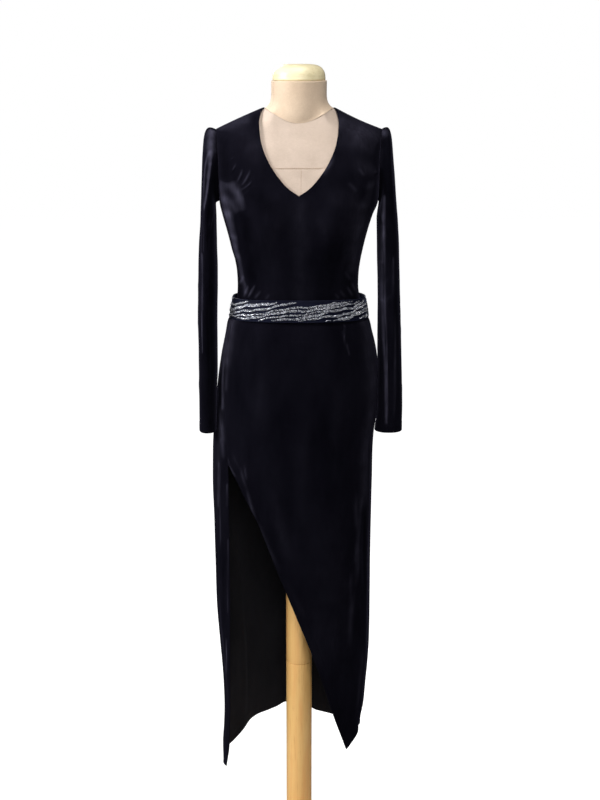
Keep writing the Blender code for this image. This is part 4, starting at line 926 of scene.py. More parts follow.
def wood(name, low, high, dark, rough, ring):
    m, tree, shader = fresh(name)
    coord = node(tree, "ShaderNodeTexCoord").outputs["Object"]
    grain = noise(tree, coord, 34.0, 4.0, 0.62, (1.0, 1.0, 0.07) if ring else (0.35, 2.0, 2.0))
    pore = noise(tree, coord, 420.0, 2.0, 0.6, (1.0, 1.0, 0.05) if ring else (0.1, 1.0, 1.0))
    colour = ramp(tree, grain, [(0.30, low), (0.52, high), (0.62, low), (0.80, high)])
    fleck = ramp(tree, pore, [(0.28, dark), (0.42, (1.0, 1.0, 1.0))])
    both = node(tree, "ShaderNodeMix", data_type="RGBA", blend_type="MULTIPLY")
    both.inputs[0].default_value = 0.55
    tree.links.new(colour, both.inputs[6])
    tree.links.new(fleck, both.inputs[7])
    tree.links.new(both.outputs[2], shader.inputs["Base Color"])
    tree.links.new(span(tree, grain, 0.3, 0.7, rough - 0.06, rough + 0.08), shader.inputs["Roughness"])
    shader.inputs["Coat Weight"].default_value = 0.15
    shader.inputs["Coat Roughness"].default_value = 0.25
    tree.links.new(bump(tree, pore, 0.15, 0.0003), shader.inputs["Normal"])
    return m


CAP_WOOD = wood("cap_wood", (0.70, 0.62, 0.38), (0.78, 0.70, 0.46), (0.84, 0.76, 0.60), 0.42, False)
POLE_WOOD = wood("pole_wood", (0.95, 0.52, 0.17), (0.98, 0.61, 0.22), (0.78, 0.62, 0.46), 0.42, True)
FOOT_WOOD = wood("foot_wood", (0.62, 0.36, 0.15), (0.72, 0.44, 0.20), (0.68, 0.52, 0.38), 0.45, False)


def wear(obj, *nodes, slot):
    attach(obj, "root")
    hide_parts(*nodes)
    return obj


# ------------------------------------------------------------------ bodice
def neck_edge(t, back):
    if back:
        join = 2 / 3
        rise = 0.5 * math.pi * np.clip((t - join) / (1 - join), 0.0, 1.0)
        half = HPS_X * np.sin(rise)
        low = np.interp(half, BACK_NECK.rows[:, 1], BACK_NECK.rows[:, 0])
        return half, np.where(t <= join, lerp(UNDERARM_Z, BACK_NECK_Z, t / join), low)
    z = HPS_Z - (HPS_Z - V_TIP_Z) * (1 - t) ** 1.35
    return V_NECK("half", z), z


def bodice_grids(side, back, cols, low_rows, top_rows, crown_rows):
    """The half's grid below the underarm, and its strap up to the shoulder."""
    gap = 0.5 * SEAM * (1 if back else -1)
    s = np.linspace(0.0, 1.0, cols + 1)[None, :]
    w = np.linspace(0.0, 1.0, low_rows + 1)[:, None]
    lift = 0.0 if back else (V_TIP_Z - UNDERARM_Z) * smooth((w - 0.55) / 0.45)
    z = lerp(WAIST_SEAM_Z + 0.5 * SEAM, UNDERARM_Z, w) + lift * (1 - s ** 1.5)
    x = side * FIGURE("left" if side < 0 else "right", z) * np.sin(0.5 * math.pi * s)
    y = torso_y(x, z, back)
    y[:, -1] = FIGURE("mid", z[:, -1]) + gap
    low = np.stack([x, y, z], -1)
    # rows crowd together where the shoulder rolls over
    t = np.concatenate([np.linspace(0.0, 0.86, top_rows),
                        1.0 - 0.14 * (1.0 - np.linspace(0.0, 1.0, crown_rows + 1)[1:]) ** 2])
    xi, zi = neck_edge(t, back)
    arm = armhole(math.pi * (1 - t) * (-1 if back else 1), side)
    t, xi, zi = t[:, None], xi[:, None], zi[:, None]
    xo, zo = arm[:, :1], arm[:, 2:]
    ease = lerp(np.sin(0.5 * math.pi * s), s, smooth(t * 1.6))
    x = lerp(side * xi, xo, ease)
    z = lerp(zi, zo, lerp(s ** 1.5, s, smooth(t * 2.0)))
    z = z - shoulder_dip(x) * smooth((t - 0.6) / 0.4)
    z[-1] = shoulder_height(x[-1])
    z[:-1] = np.minimum(z[:-1], z[-1] - 0.004 * MM * (len(z) - 1 - np.arange(len(z) - 1))[:, None])
    y = torso_y(x, z, back)
    y[-1] = FIGURE("mid", z[-1]) + gap
    y[0, -1] = FIGURE("mid", zo[0, 0]) + gap
    top = np.stack([x, y, z], -1)
    top[0] = low[-1]
    return low, top


def bodice(name, back):
    cloth = Cloth()
    for side in (-1, 1):
        low, top = bodice_grids(side, back, 78, 86, 66, 20)
        flip = (side > 0) == back
        cloth.add(low, flip)
        cloth.add(top, flip)
    cloth.weld()
    p = cloth.points
    neck = cloth.distance(lambda e: (np.abs(e[:, 0]) < 0.0835) & (e[:, 2] > 1.51)
                          & (e[:, 2] < shoulder_height(e[:, 0]) - 0.0008))
    sewn = cloth.distance(lambda e: ~((np.abs(e[:, 0]) < 0.0835) & (e[:, 2] > 1.51)
                                      & (e[:, 2] < shoulder_height(e[:, 0]) - 0.0008)))
    x, z = p[:, 0] / MM, p[:, 2] / MM
    height = creases(x, z, CREASES_BACK if back else CREASES_FRONT)
    # painted highlights along the crease ridges, and painted highlights and painted shade from the tables
    painted_light = painted_ridge_highlight(x, z, CREASES_BACK if back else CREASES_FRONT)
    painted_light = painted_light + (painted_light_patches(x, z, PAINTED_LIGHT_BACK, 1.0, 0.25) if back else painted_light_patches(x, z, PAINTED_LIGHT_FRONT))
    painted_light = painted_light * (1.0 + 0.25 * ripple(x, z, 9, 34.0))
    height = height + 0.22 * ripple(x, z, 5 if back else 3, 70.0)
    height *= smooth(sewn / 0.010) * smooth(neck / 0.012)
    # sewn edges draw in, and the neckline is turned under and caught down
    height -= 0.30 * np.exp(-(sewn / 0.0018) ** 2)
    height += 0.12 * smooth((0.0075 - neck) / 0.002)
    height -= 0.14 * np.exp(-((neck - 0.0085) / 0.0010) ** 2)
    height += 0.12 * np.exp(-(neck / 0.004) ** 2) * np.sin(z * 2 * math.pi / 17.0)
    cloth.push(np.clip(height, -2.0, 3.5) * MM)
    return cloth.shell(name, CLOTH, VELVET, REVERSE, np.clip(painted_light, -1.0, 1.0))


front = wear(bodice("dress_bodice_front", False), "bodice_front", slot="velvet")
rear = wear(bodice("dress_bodice_back", True), "bodice_back", slot="velvet")


# ------------------------------------------------------------------ sleeves
def sleeve_ring(side, z, phi):
    table = SLEEVE_LEFT if side < 0 else SLEEVE_RIGHT
    inner, outer, front_y, rear_y = (table(k, z) for k in ("inner", "outer", "front", "back"))
    a, b = 0.5 * (outer - inner), 0.5 * (rear_y - front_y)
    c, s = np.cos(phi), np.sin(phi)
    n = 2.4
    x = 0.5 * (inner + outer) + a * np.sign(c) * np.abs(c) ** (2 / n)
    y = 0.5 * (front_y + rear_y) - b * np.sign(s) * np.abs(s) ** (2 / n)
    deep = np.where(y < 0, SKIRT("front", z), SKIRT("back", z))
    hip = SKIRT("left" if side < 0 else "right", z) * bulge(y / deep, 2.2)
    x = np.maximum(x, hip + HIP_CLEAR)
    return np.stack([side * x, y, z + np.zeros_like(x)], -1)


def sleeve(name, side, rows_of_creases, seed):
    cols, head, tube = 124, 32, 154
    phi = np.linspace(math.pi, -math.pi, cols + 1)
    phi[-1] = math.pi
    up = np.cos(phi)
    out = np.stack([side * (0.012 + HEAD_OUT[side] * np.maximum(up, 0)), -0.012 * np.sin(phi),
                    np.where(up > 0, 0.016 * up, 0.003 * up)], -1)
    start = armhole(phi, side)
    start = start + out / np.linalg.norm(out, axis=1)[:, None] * 0.4 * MM
    end = sleeve_ring(side, np.full_like(phi, 1.460), phi)
    lift = np.stack([-side * HEAD_DROP[side] * np.maximum(up, 0), 0 * phi, 0.030 + 0.0675 * (1 + up)], -1)
    t = (np.linspace(0.0, 1.0, head + 1) ** 1.1)[:, None, None]
    grid = ((1 - t) ** 3 * start + 3 * (1 - t) ** 2 * t * (start + out)
            + 3 * (1 - t) * t * t * (end + lift) + t ** 3 * end)
    z = np.linspace(1.460, CUFF_Z, tube + 1)[1:, None]
    grid = np.concatenate([grid, sleeve_ring(side, z, phi[None, :])], 0)
    degrees = np.degrees(np.linspace(math.pi, -math.pi, cols + 1))[None, :] + 0 * grid[..., 0]
    heights = grid[..., 2] / MM
    push = creases(degrees, heights, rows_of_creases, 0.58)
    push = push + 0.25 * ripple(degrees * 0.58, heights, seed, 60.0)
    # small gathers where the head is eased into the armhole
    index = np.arange(grid.shape[0])[:, None]
    near = np.exp(-((index - 5.0) / 5.0) ** 2) * np.clip(up[None, :], 0, 1)
    push = push + 0.55 * near * np.sin(np.radians(degrees) * 15 + 1.3 * np.sin(np.radians(degrees) * 4))
    rows_from_cuff = (heights - CUFF_Z / MM)
    push = push * smooth(rows_from_cuff / 14.0)
    inner = smooth((np.abs(degrees) - 118) / 30)
    push = np.where(push > 0, push * (1 - inner * smooth((1300 - heights) / 60)), push)
    push += 0.30 * smooth((19.0 - rows_from_cuff) / 2.0)
    push -= 0.30 * np.exp(-((rows_from_cuff - 20.0) / 1.1) ** 2)
    push = push - 0.28 * np.exp(-(index / 1.2) ** 2)
    # the seam under the arm
    push -= 0.5 * np.exp(-((180 - np.abs(degrees)) / 3.0) ** 2)
    # blend the two ends of each ring
    push[:, -1] = push[:, 0]
    # the displacement is laid on before the ring is closed
    flat = Cloth()
    flat.add(grid, side > 0)
    flat.points, flat.quads = np.vstack(flat.p), np.vstack(flat.q)
    normal = flat.normals().reshape(grid.shape)
    both = normal[:, 0] + normal[:, -1]
    both /= np.linalg.norm(both, axis=1)[:, None]
    normal[:, 0] = normal[:, -1] = both
    moved = grid + normal * push[..., None] * MM
    moved[:, -1] = moved[:, 0]
    # painted highlights along the crease ridges, and painted highlights and painted shade from the tables, the
    # front ones placed by x
    painted_light = painted_ridge_highlight(degrees, heights, rows_of_creases, 0.58)
    painted_light = painted_light + painted_light_patches(degrees, heights, PAINTED_LIGHT_SLEEVE_LEFT if side < 0 else PAINTED_LIGHT_SLEEVE_RIGHT, 0.58, 0.25)
    painted_light = painted_light + (degrees > 15) * painted_light_patches(grid[..., 0] / MM, heights,
                                         PAINTED_LIGHT_SLEEVE_LEFT_FRONT if side < 0 else PAINTED_LIGHT_SLEEVE_RIGHT_FRONT)
    painted_light = np.clip(painted_light * (1.0 + 0.25 * ripple(degrees * 0.58, heights, seed + 5, 30.0)), -1.0, 1.0)
    cloth = Cloth()
    cloth.add(moved, side > 0)
    cloth.weld()
    return cloth.shell(name, CLOTH, VELVET, REVERSE, painted_light.ravel()[cloth.first])


left_sleeve = wear(sleeve("dress_sleeve_left", -1, CREASES_SLEEVE_LEFT, 11), "sleeve_left", slot="velvet")
right_sleeve = wear(sleeve("dress_sleeve_right", 1, CREASES_SLEEVE_RIGHT, 12), "sleeve_right", slot="velvet")


# ------------------------------------------------------------------ skirt
def skirt_back():
    cols, top, low = 138, 90, 172
    s = np.linspace(0.0, 1.0, cols + 1)[None, :]
    z_top = np.linspace(WAIST_SEAM_Z - 0.5 * SEAM, SLIT_TOP_Z, top + 1)[:, None]
    tip = LEFT_EDGE.rows[0, 0]
    t = np.linspace(0.0, 1.0, low + 1)[1:, None]
    edge = np.vstack([z_top, lerp(SLIT_TOP_Z, tip, t)])
    end = 360.0 + skirt_angle(-LEFT_EDGE("x", edge), edge)
    angle = lerp(90.0, end, s)
    hem = HEM("z", angle[top + 1:])
    hem = lerp(hem, tip, s ** 60)
    z = np.vstack([z_top + 0 * s, lerp(SLIT_TOP_Z, hem, t)])
    grid = skirt_point(angle, z)
    grid[:, 0, 1] = 0.5 * SEAM
    cloth = Cloth()
    cloth.add(grid, True)
    cloth.points, cloth.quads = np.vstack(cloth.p), np.vstack(cloth.q)
    a, zz = angle.ravel(), z.ravel() / MM
    height = creases(a, zz, CREASES_SKIRT_BACK, 2.6)
    height = height + 0.30 * ripple(a * 2.6, zz, 21, 120.0)
    sewn = cloth.distance(lambda e: (e[:, 2] > SLIT_TOP_Z) | (e[:, 0] > 0.10) & (np.abs(e[:, 1]) < 0.004))
    free = cloth.distance(lambda e: (e[:, 2] <= SLIT_TOP_Z) & ~((e[:, 0] > 0.10) & (np.abs(e[:, 1]) < 0.004)))
    height *= smooth(sewn / 0.010)
    height -= 0.32 * np.exp(-(sewn / 0.0020) ** 2)
    height += 0.50 * smooth((0.0050 - free) / 0.002) + 0.15 * smooth((0.018 - free) / 0.002)
    height -= 0.25 * np.exp(-((free - 0.0185) / 0.0011) ** 2)
    cloth.push(np.clip(height, -3.0, 4.0) * MM)
    turn = np.where(a > 180, a - 360, a)
    # painted highlights along the crease ridges, and painted highlights and painted shade from the tables
    painted_light = painted_ridge_highlight(a, zz, CREASES_SKIRT_BACK, 2.6) + painted_light_patches(turn, zz, PAINTED_LIGHT_SKIRT, 2.6)
    painted_light = painted_light + painted_light_patches(turn, zz, PAINTED_LIGHT_SKIRT_BACK, 2.6, 0.25)
    painted_light = painted_light * (1.0 + 0.25 * ripple(a * 2.6, zz, 25, 50.0))
    return cloth.shell("dress_skirt_back", CLOTH, VELVET, REVERSE, np.clip(painted_light, -1.0, 1.0))


def skirt_front():
    cols, top, low = 106, 106, 182
    s = np.linspace(0.0, 1.0, cols + 1)[None, :]
    z_top = np.linspace(WAIST_SEAM_Z - 0.5 * SEAM, SLIT_TOP_Z, top + 1)[:, None]
    corner_z = FRONT_EDGE.rows[0, 0]
    t = np.linspace(0.0, 1.0, low + 1)[1:, None]
    edge = np.vstack([z_top, lerp(SLIT_TOP_Z, corner_z, t)])
    x_edge = np.vstack([-LEFT_EDGE("x", z_top), FRONT_EDGE("x", edge[top + 1:])])
    start = skirt_angle(x_edge, edge)
    angle = lerp(start, 90.0, s)
    hem = HEM("z", lerp(48.0, 90.0, s))
    hem[0, 0] = corner_z
    z = np.vstack([z_top + 0 * s, lerp(SLIT_TOP_Z, hem, t)])
    grid = skirt_point(angle, z)
    grid[:, -1, 1] = -0.5 * SEAM
    cloth = Cloth()
    cloth.add(grid, True)
    cloth.points, cloth.quads = np.vstack(cloth.p), np.vstack(cloth.q)
    a, zz = angle.ravel(), z.ravel() / MM
    height = creases(a, zz, CREASES_SKIRT_FRONT, 2.6)
    height = height + 0.25 * ripple(a * 2.6, zz, 22, 120.0)
    right = lambda e: (e[:, 0] > 0.10) & (np.abs(e[:, 1]) < 0.004)
    sewn = cloth.distance(lambda e: (e[:, 2] > SLIT_TOP_Z) | right(e))
    free = cloth.distance(lambda e: (e[:, 2] <= SLIT_TOP_Z) & ~right(e))
    height *= smooth(sewn / 0.010)
    height -= 0.32 * np.exp(-(sewn / 0.0020) ** 2)
    height += 0.50 * smooth((0.0050 - free) / 0.002) + 0.15 * smooth((0.018 - free) / 0.002)
    height -= 0.25 * np.exp(-((free - 0.0185) / 0.0011) ** 2)
    # the free edge turns a little outwards where the panel swings across
    height += 1.3 * np.exp(-(free / 0.014) ** 2) * smooth((930 - zz) / 60) * smooth((zz - 560) / 120)
    cloth.push(np.clip(height, -3.0, 4.0) * MM)
    # painted highlights along the crease ridges, and painted highlights and painted shade from the tables
    painted_light = painted_ridge_highlight(a, zz, CREASES_SKIRT_FRONT, 2.6) + painted_light_patches(a, zz, PAINTED_LIGHT_SKIRT, 2.6)
    painted_light = painted_light * (1.0 + 0.25 * ripple(a * 2.6, zz, 26, 50.0))
    return cloth.shell("dress_skirt_front", CLOTH, VELVET, REVERSE, np.clip(painted_light, -1.0, 1.0))


skirt_b = wear(skirt_back(), "skirt_back", slot="velvet")
skirt_f = wear(skirt_front(), "skirt_front", slot="velvet")

# ------------------------------------------------------------------ belt
LAP, LAP_OUT = 13.0, 2.8 * MM
BELT_N = 2.15


def belt_point(angle, v, out):
    a = np.radians(angle)
    s, c = np.sin(a), np.cos(a)
    side = np.where(s < 0, BELT("left", v), BELT("right", v)) + out
    deep = np.where(c > 0, BELT("front", v), BELT("back", v)) + out
    x = side * np.sign(s) * np.abs(s) ** (2 / BELT_N)
    y = -deep * np.sign(c) * np.abs(c) ** (2 / BELT_N)
    z = lerp(BELT("z_side", v), np.where(c > 0, BELT("z_front", v), BELT("z_back", v)), c * c)
    return np.stack([x, y, z], -1)


def belt_lift(angle):
    return LAP_OUT * smooth((angle - (540.0 - 4 * LAP)) / (3 * LAP))


def belt_at(angle, v):
    """Point, outward direction, direction along and direction up the belt."""
    lift = belt_lift(angle)
    p = belt_point(angle, v, lift)
    along = belt_point(angle + 0.2, v, lift) - belt_point(angle - 0.2, v, lift)
    up = belt_point(angle, np.minimum(v + 0.02, 1), lift) - belt_point(angle, np.maximum(v - 0.02, 0), lift)
    along /= np.linalg.norm(along, axis=-1)[..., None]
    up /= np.linalg.norm(up, axis=-1)[..., None]
    out = np.cross(along, up)
    out /= np.linalg.norm(out, axis=-1)[..., None]
    return p, out, along, up


def belt_band():
    cols, rows = 448, 12
    angle = (180.0 - LAP + (360.0 + 2 * LAP) * np.linspace(0, 1, cols + 1))[None, :]
    v = np.linspace(0.0, 1.0, rows + 1)[:, None]
    p, out, _, _ = belt_at(angle + 0 * v, v + 0 * angle)
    u = angle * 2.45
    wave = 0.35 * ripple(u, v * 45.0, 31, 55.0) + 0.15 * np.sin(u / 5.3 + 2 * np.sin(u / 31.0)) * (2 * v - 1) ** 2
    cloth = Cloth()
    cloth.add(p + out * (wave[..., None] * MM), False)
    cloth.weld()
    return cloth.shell("belt_band", 1.8 * MM, BAND, BAND)


def tube(name, line, out, up, radius, mat, sides=8):
    """A cord of that radius along a line, with closed ends."""
    k = np.linspace(0, 2 * math.pi, sides, endpoint=False)
    ring = (line[:, None, :] + out[:, None, :] * (np.cos(k)[None, :, None] * radius)
            + up[:, None, :] * (np.sin(k)[None, :, None] * radius))
    n = len(line)
    points = np.vstack([ring.reshape(-1, 3), line[:1], line[-1:]])
    ids = np.arange(n * sides).reshape(n, sides)
    nxt = np.roll(ids, -1, axis=1)
    quads = np.stack([ids[:-1], nxt[:-1], nxt[1:], ids[1:]], -1).reshape(-1, 4)
    first, last = n * sides, n * sides + 1
    caps = [[b, a, first, first] for a, b in zip(ids[0], nxt[0])]
    caps += [[a, b, last, last] for a, b in zip(ids[-1], nxt[-1])]
    return make(name, points, np.vstack([quads, np.array(caps)]), [mat])


def piping(name, v, mat):
    angle = 180.0 - LAP + (360.0 + 2 * LAP) * np.linspace(0, 1, 521)
    p, out, _, up = belt_at(angle, np.full_like(angle, v))
    return tube(name, p - out * 0.5 * MM + up * (0.3 * MM if v > 0.5 else -0.3 * MM), out, up, 1.35 * MM, mat)


ICO = None


def bead_shapes():
    """A faceted round bead and a short six-sided tube, as points and triangles."""
    g = (1 + 5 ** 0.5) / 2
    ball = np.array([(-1, g, 0), (1, g, 0), (-1, -g, 0), (1, -g, 0), (0, -1, g), (0, 1, g),
                     (0, -1, -g), (0, 1, -g), (g, 0, -1), (g, 0, 1), (-g, 0, -1), (-g, 0, 1)], float)
    ball /= np.linalg.norm(ball[0])
    ball_faces = np.array([
        (0, 11, 5), (0, 5, 1), (0, 1, 7), (0, 7, 10), (0, 10, 11), (1, 5, 9), (5, 11, 4),
        (11, 10, 2), (10, 7, 6), (7, 1, 8), (3, 9, 4), (3, 4, 2), (3, 2, 6), (3, 6, 8),
        (3, 8, 9), (4, 9, 5), (2, 4, 11), (6, 2, 10), (8, 6, 7), (9, 8, 1)])
    k = np.linspace(0, 2 * math.pi, 5, endpoint=False)
    tube_points = np.vstack([np.stack([np.full(5, e), 0.5 * np.cos(k), 0.5 * np.sin(k)], -1)
                             for e in (-1.0, 1.0)])
    faces = []
    for i in range(5):
        j = (i + 1) % 5
        faces += [(i, j, j + 5), (i, j + 5, i + 5)]
    faces += [(0, i + 1, i) for i in range(1, 4)] + [(5, 5 + i, 6 + i) for i in range(1, 4)]
    return (ball, ball_faces), (tube_points, np.array(faces))


def beads(name, low, high, seed):
    """Wavy strands of small beads that climb across the band from left to right."""
    rng = np.random.default_rng(seed)
    (ball, ball_f), (rod, rod_f) = bead_shapes()
    angles, heights = [], []
    strands = 19
    for k in range(strands):
        begin = (k + 0.16 * math.sin(k * 2.3)) * 360.0 / strands
        reach = 104.0 + 9.0 * math.sin(k * 1.7 + 0.4)
        wide = 2.15 + 0.45 * math.sin(k * 2.9)
        for t in np.arange(0.0, 1.0, 1.5 / (reach * 2.5)):
            angle = (begin + reach * t) % 360.0
            if not low <= angle < high:
                continue
            turn = math.radians(angle)
            v = 0.03 + 0.94 * t + 0.045 * math.sin(7 * turn + 0.6 * k) + 0.022 * math.sin(21 * turn + k)
            across = wide * min(1.0, 0.45 + 6.0 * min(t, 1 - t))
            n = max(2, int(round(across * 2 / 1.7)))
            for j in range(n):
                w = -across + (j + 0.5) * 2 * across / n + rng.normal(0, 0.25)
                if 0.04 < v + w / 44.0 < 0.96:
                    angles.append(angle + rng.normal(0, 0.13))
                    heights.append(v + w / 44.0)
    angles = np.array(angles)
    lapped = (angles > 90.0) & (angles < 180.0 + LAP - 0.6)
    p, out, along, up = belt_at(angles + 360.0 * lapped, np.array(heights))
    n = len(angles)
    pick, lift = rng.random(n), rng.random(n)
    long = pick < 0.30
    turn = np.where(long, 0.22 + rng.normal(0, 0.5, n), rng.uniform(0, 2 * math.pi, n))[:, None]
    x = along * np.cos(turn) + up * np.sin(turn)
    axes = np.stack([x, np.cross(out, x), out], 1)
    r = rng.uniform(0.72, 1.05, n)
    size = np.where(long[:, None], np.stack([rng.uniform(1.0, 1.6, n), 1.1 + 0 * r, 1.1 + 0 * r], -1),
                    np.stack([r, r, 0.85 * r], -1)) * MM
    sit = np.where(long, 0.6 + 0.3 * lift, 0.5 * r + 0.35 * lift)[:, None] * MM
    kind = np.where(rng.random(n) < 0.50, 0, np.where(rng.random(n) < 0.6, 1, 2))
    points, faces, index, count = [], [], [], 0
    for which, shape, tris in ((~long, ball, ball_f), (long, rod, rod_f)):
        centre, scale, frame3 = (p + out * sit)[which], size[which], axes[which]
        local = shape[None] * scale[:, None, :]
        placed = centre[:, None, :] + np.einsum("nij,njk->nik", local, frame3)
        m = len(centre)
        points.append(placed.reshape(-1, 3))
        faces.append((tris[None] + (np.arange(m) * len(shape))[:, None, None]).reshape(-1, 3) + count)
        index.append(np.repeat(kind[which], len(tris)))
        count += m * len(shape)
    return make(name, np.vstack(points), np.vstack(faces), [SILVER, GLASS, STEEL],
                np.concatenate(index), flat=True)


band = wear(belt_band(), "belt", slot="beaded_band")
belt_parts = [
    piping("belt_piping_top", 1.0, BAND),
    piping("belt_piping_bottom", 0.0, BAND),
    beads("belt_beads_right", 0.0, 180.0, 41),
    beads("belt_beads_left", 180.0, 360.0, 42),
]
for part in belt_parts:
    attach(part, "root")


# ------------------------------------------------------------------ dress form
COLS = 144
RING = 2 * math.pi * np.arange(COLS + 1) / COLS
RING_S, RING_C = np.sin(RING), np.cos(RING)
RING_S[-1], RING_C[-1] = RING_S[0], RING_C[0]
REAR = RING_C < -1e-9


def form_limit(z):
    side = np.where(RING_S < 0, 0, 1)
    fig = np.where(side == 0, FIGURE("left", z), FIGURE("right", z))
    skirt = np.where(side == 0, SKIRT("left", z), SKIRT("right", z))
    return np.where(z > 1.285, fig, skirt) - INSET


def upper_ring(wide, z_side, z_front, z_back, power):
    z = lerp(z_side, np.where(REAR, z_back, z_front), np.abs(RING_C) ** power)
    limit = form_limit(z)
    wide = limit if wide is None else np.minimum(wide, limit)
    return wide * RING_S, z


def form_y(x, z, fillet):
    y_front = torso_y(x, z, False, INSET, 0.008 * fillet)
    y_back = torso_y(x, z, True, INSET, 0.002 * fillet)
    return np.where(REAR, y_back, y_front)


def form_grid():
    keys = []
    for step in np.arange(0.0, 6.001, 0.2):
        wide = float(FORM_YOKE("wide", step))
        z_side = (shoulder_height(np.where(RING_S < 0, -wide, wide))
                  - INSET * (1.0 + float(smooth((wide - 0.066) / 0.02)))
                  + 0.008 * math.exp(-(wide - NECK_R) / 0.006))
        keys.append((*upper_ring(wide, z_side, float(FORM_YOKE("z_front", step)),
                                 float(FORM_YOKE("z_back", step)), 3), 1.0))
    for step in np.arange(0.0, 5.001, 0.25):
        x, z = upper_ring(None, *(float(FORM_ARM_END(k, step)) for k in ("z_side", "z_front", "z_back")), 2)
        keys.append((x, z, 1.0 if step == 0 else 0.0))
    a, b = keys[30], keys[31]
    keys[31:31] = [(lerp(a[0], b[0], t), lerp(a[1], b[1], t), 1.0) for t in (0.25, 0.5, 0.75)]
    for z in np.linspace(1.484, 1.288, 36):
        zz = np.full(COLS + 1, z)
        keys.append((form_limit(zz) * RING_S, zz, 0.0))
    rings = []
    for x, z, fillet in keys:
        y = form_y(x, z, fillet)
        y = np.where(np.abs(RING_C) < 1e-9, FIGURE("mid", z), y)
        rings.append(np.stack([x, y, z], -1))
    lower = np.concatenate([np.linspace(1.282, 1.000, 48), np.linspace(0.996, FORM_BOTTOM_Z, 14)])
    for z in lower:
        share = float(FORM_CLOSE("share", z)) if z < 1.1 else 1.0
        zz = max(z, 1.090)
        side = np.where(RING_S < 0, SKIRT("left", zz), SKIRT("right", zz))
        wide = np.minimum(side, 0.1690) - INSET
        deep = np.where(REAR, SKIRT("back", zz), SKIRT("front", zz)) - INSET
        n = np.where(REAR, SKIRT("nb", zz), SKIRT("nf", zz))
        shrink = share * (1.0 - 0.10 * max(0.0, (1.090 - z) / 0.14) ** 1.5)
        x = wide * shrink * np.sign(RING_S) * np.abs(RING_S) ** (2 / n)
        y = -deep * shrink * np.sign(RING_C) * np.abs(RING_C) ** (2 / n)
        rings.append(np.stack([x, y, np.full(COLS + 1, z)], -1))
    # the underside closes flat round the pole
    last = rings[-1]
    for share, drop in ((0.97, 0.0012), (0.90, 0.0018), (0.60, 0.0018), (0.19, 0.0018)):
        ring = last * share
        ring[:, 2] = FORM_BOTTOM_Z + 0.0018 - drop
        rings.append(ring)
    return np.array(rings)


def seam_groove(points, lines, width, depth):
    """How far the cover draws in along seam lines given as rows of points."""
    out = np.zeros(len(points))
    for line in lines:
        best = np.full(len(points), 1.0)
        for a, b in zip(line, line[1:]):
            ab = b - a
            t = np.clip(((points - a) @ ab) / (ab @ ab), 0.0, 1.0)
            d = np.linalg.norm(points - a - t[:, None] * ab, axis=1)
            best = np.minimum(best, d)
        out -= depth * np.exp(-(best / width) ** 2)
    return out


def stitches(name, lines, long, pitch, radius):
    """Short raised stitches along lines of (point, outward direction)."""
    (_, _), (rod, rod_f) = bead_shapes()
    points, faces, count = [], [], 0
    for line, normal in lines:
        at = np.concatenate([[0.0], np.cumsum(np.linalg.norm(np.diff(line, axis=0), axis=1))])
        for s in np.arange(pitch * 0.5, at[-1], pitch):
            p = np.array([np.interp(s, at, line[:, k]) for k in range(3)])
            q = np.array([np.interp(s + 0.3 * MM, at, line[:, k]) for k in range(3)])
            n = np.array([np.interp(s, at, normal[:, k]) for k in range(3)])
            x = (q - p) / max(np.linalg.norm(q - p), 1e-9)
            y = np.cross(n, x)
            y /= np.linalg.norm(y)
            size = np.array([0.5 * long, 2 * radius, 2 * radius])
            points.append(p + (rod * size) @ np.stack([x, y, np.cross(x, y)]))
            faces.append(rod_f + count)
            count += len(rod)
    return make(name, np.vstack(points), np.vstack(faces), [THREAD])


def chest_line(x):
    z = 1.5722 + 0.0 * x
    return np.stack([x, torso_y(x, z, False, INSET), z], -1)


def front_line(z):
    x = 0.0046 + 0.0006 * np.sin(z * 40)
    return np.stack([x, torso_y(x, z, False, INSET), z], -1)


chest = chest_line(np.linspace(-0.075, 0.075, 41))
centre = front_line(np.linspace(1.5722, 1.470, 27))
grid = form_grid()
form = Cloth()
form.add(grid, False)
form.weld()
form.push(seam_groove(form.points, [chest, centre], 0.0016, 0.0007)
          + 0.00025 * ripple(form.points[:, 0] / MM, form.points[:, 2] / MM, 51, 45.0))
FORM_TORSO = make("form_cover", form.points, form.quads, [LINEN])
wear(FORM_TORSO, "form_torso", slot="linen")

base = grid[0]
levels = np.concatenate([np.linspace(0, 0.5, 26), np.linspace(0.53, 1.0, 16)])
rings = []
for level in levels:
    inward = float(NECK_FLARE("inward", level))
    ring = np.stack([lerp(base[:, 0], NECK_R * RING_S, inward),
                     lerp(base[:, 1], -NECK_R * RING_C, inward),
                     lerp(base[:, 2] + 0.2 * MM, CAP_BOTTOM_Z - 0.4 * MM, level)], -1)
    rings.append(ring)
top = rings[-1]
for share in (0.985, 0.96, 0.5):
    ring = top * share
    ring[:, 2] = top[:, 2]
    rings.append(ring)
neck_grid = np.array(rings)
neck = Cloth()
neck.add(neck_grid, True)
neck.weld()


def neck_line(degrees):
    a = math.radians(degrees)
    rows = neck_grid[2:40]
    k = (degrees % 360.0) / 360.0 * COLS
    i = int(k)
    return lerp(rows[:, i], rows[:, i + 1], k - i)


neck_seams = [neck_line(-64.0), neck_line(118.0)]
neck.push(seam_groove(neck.points, neck_seams, 0.0015, 0.0006)
          - 0.0008 * np.exp(-(neck.distance(lambda e: e[:, 2] < 1.72) / 0.0022) ** 2)
          + 0.00020 * ripple(neck.points[:, 0] / MM, neck.points[:, 2] / MM, 52, 40.0))
NECK = make("form_neck_cover", neck.points, neck.quads, [LINEN_NECK])
wear(NECK, "form_neck", slot="linen")

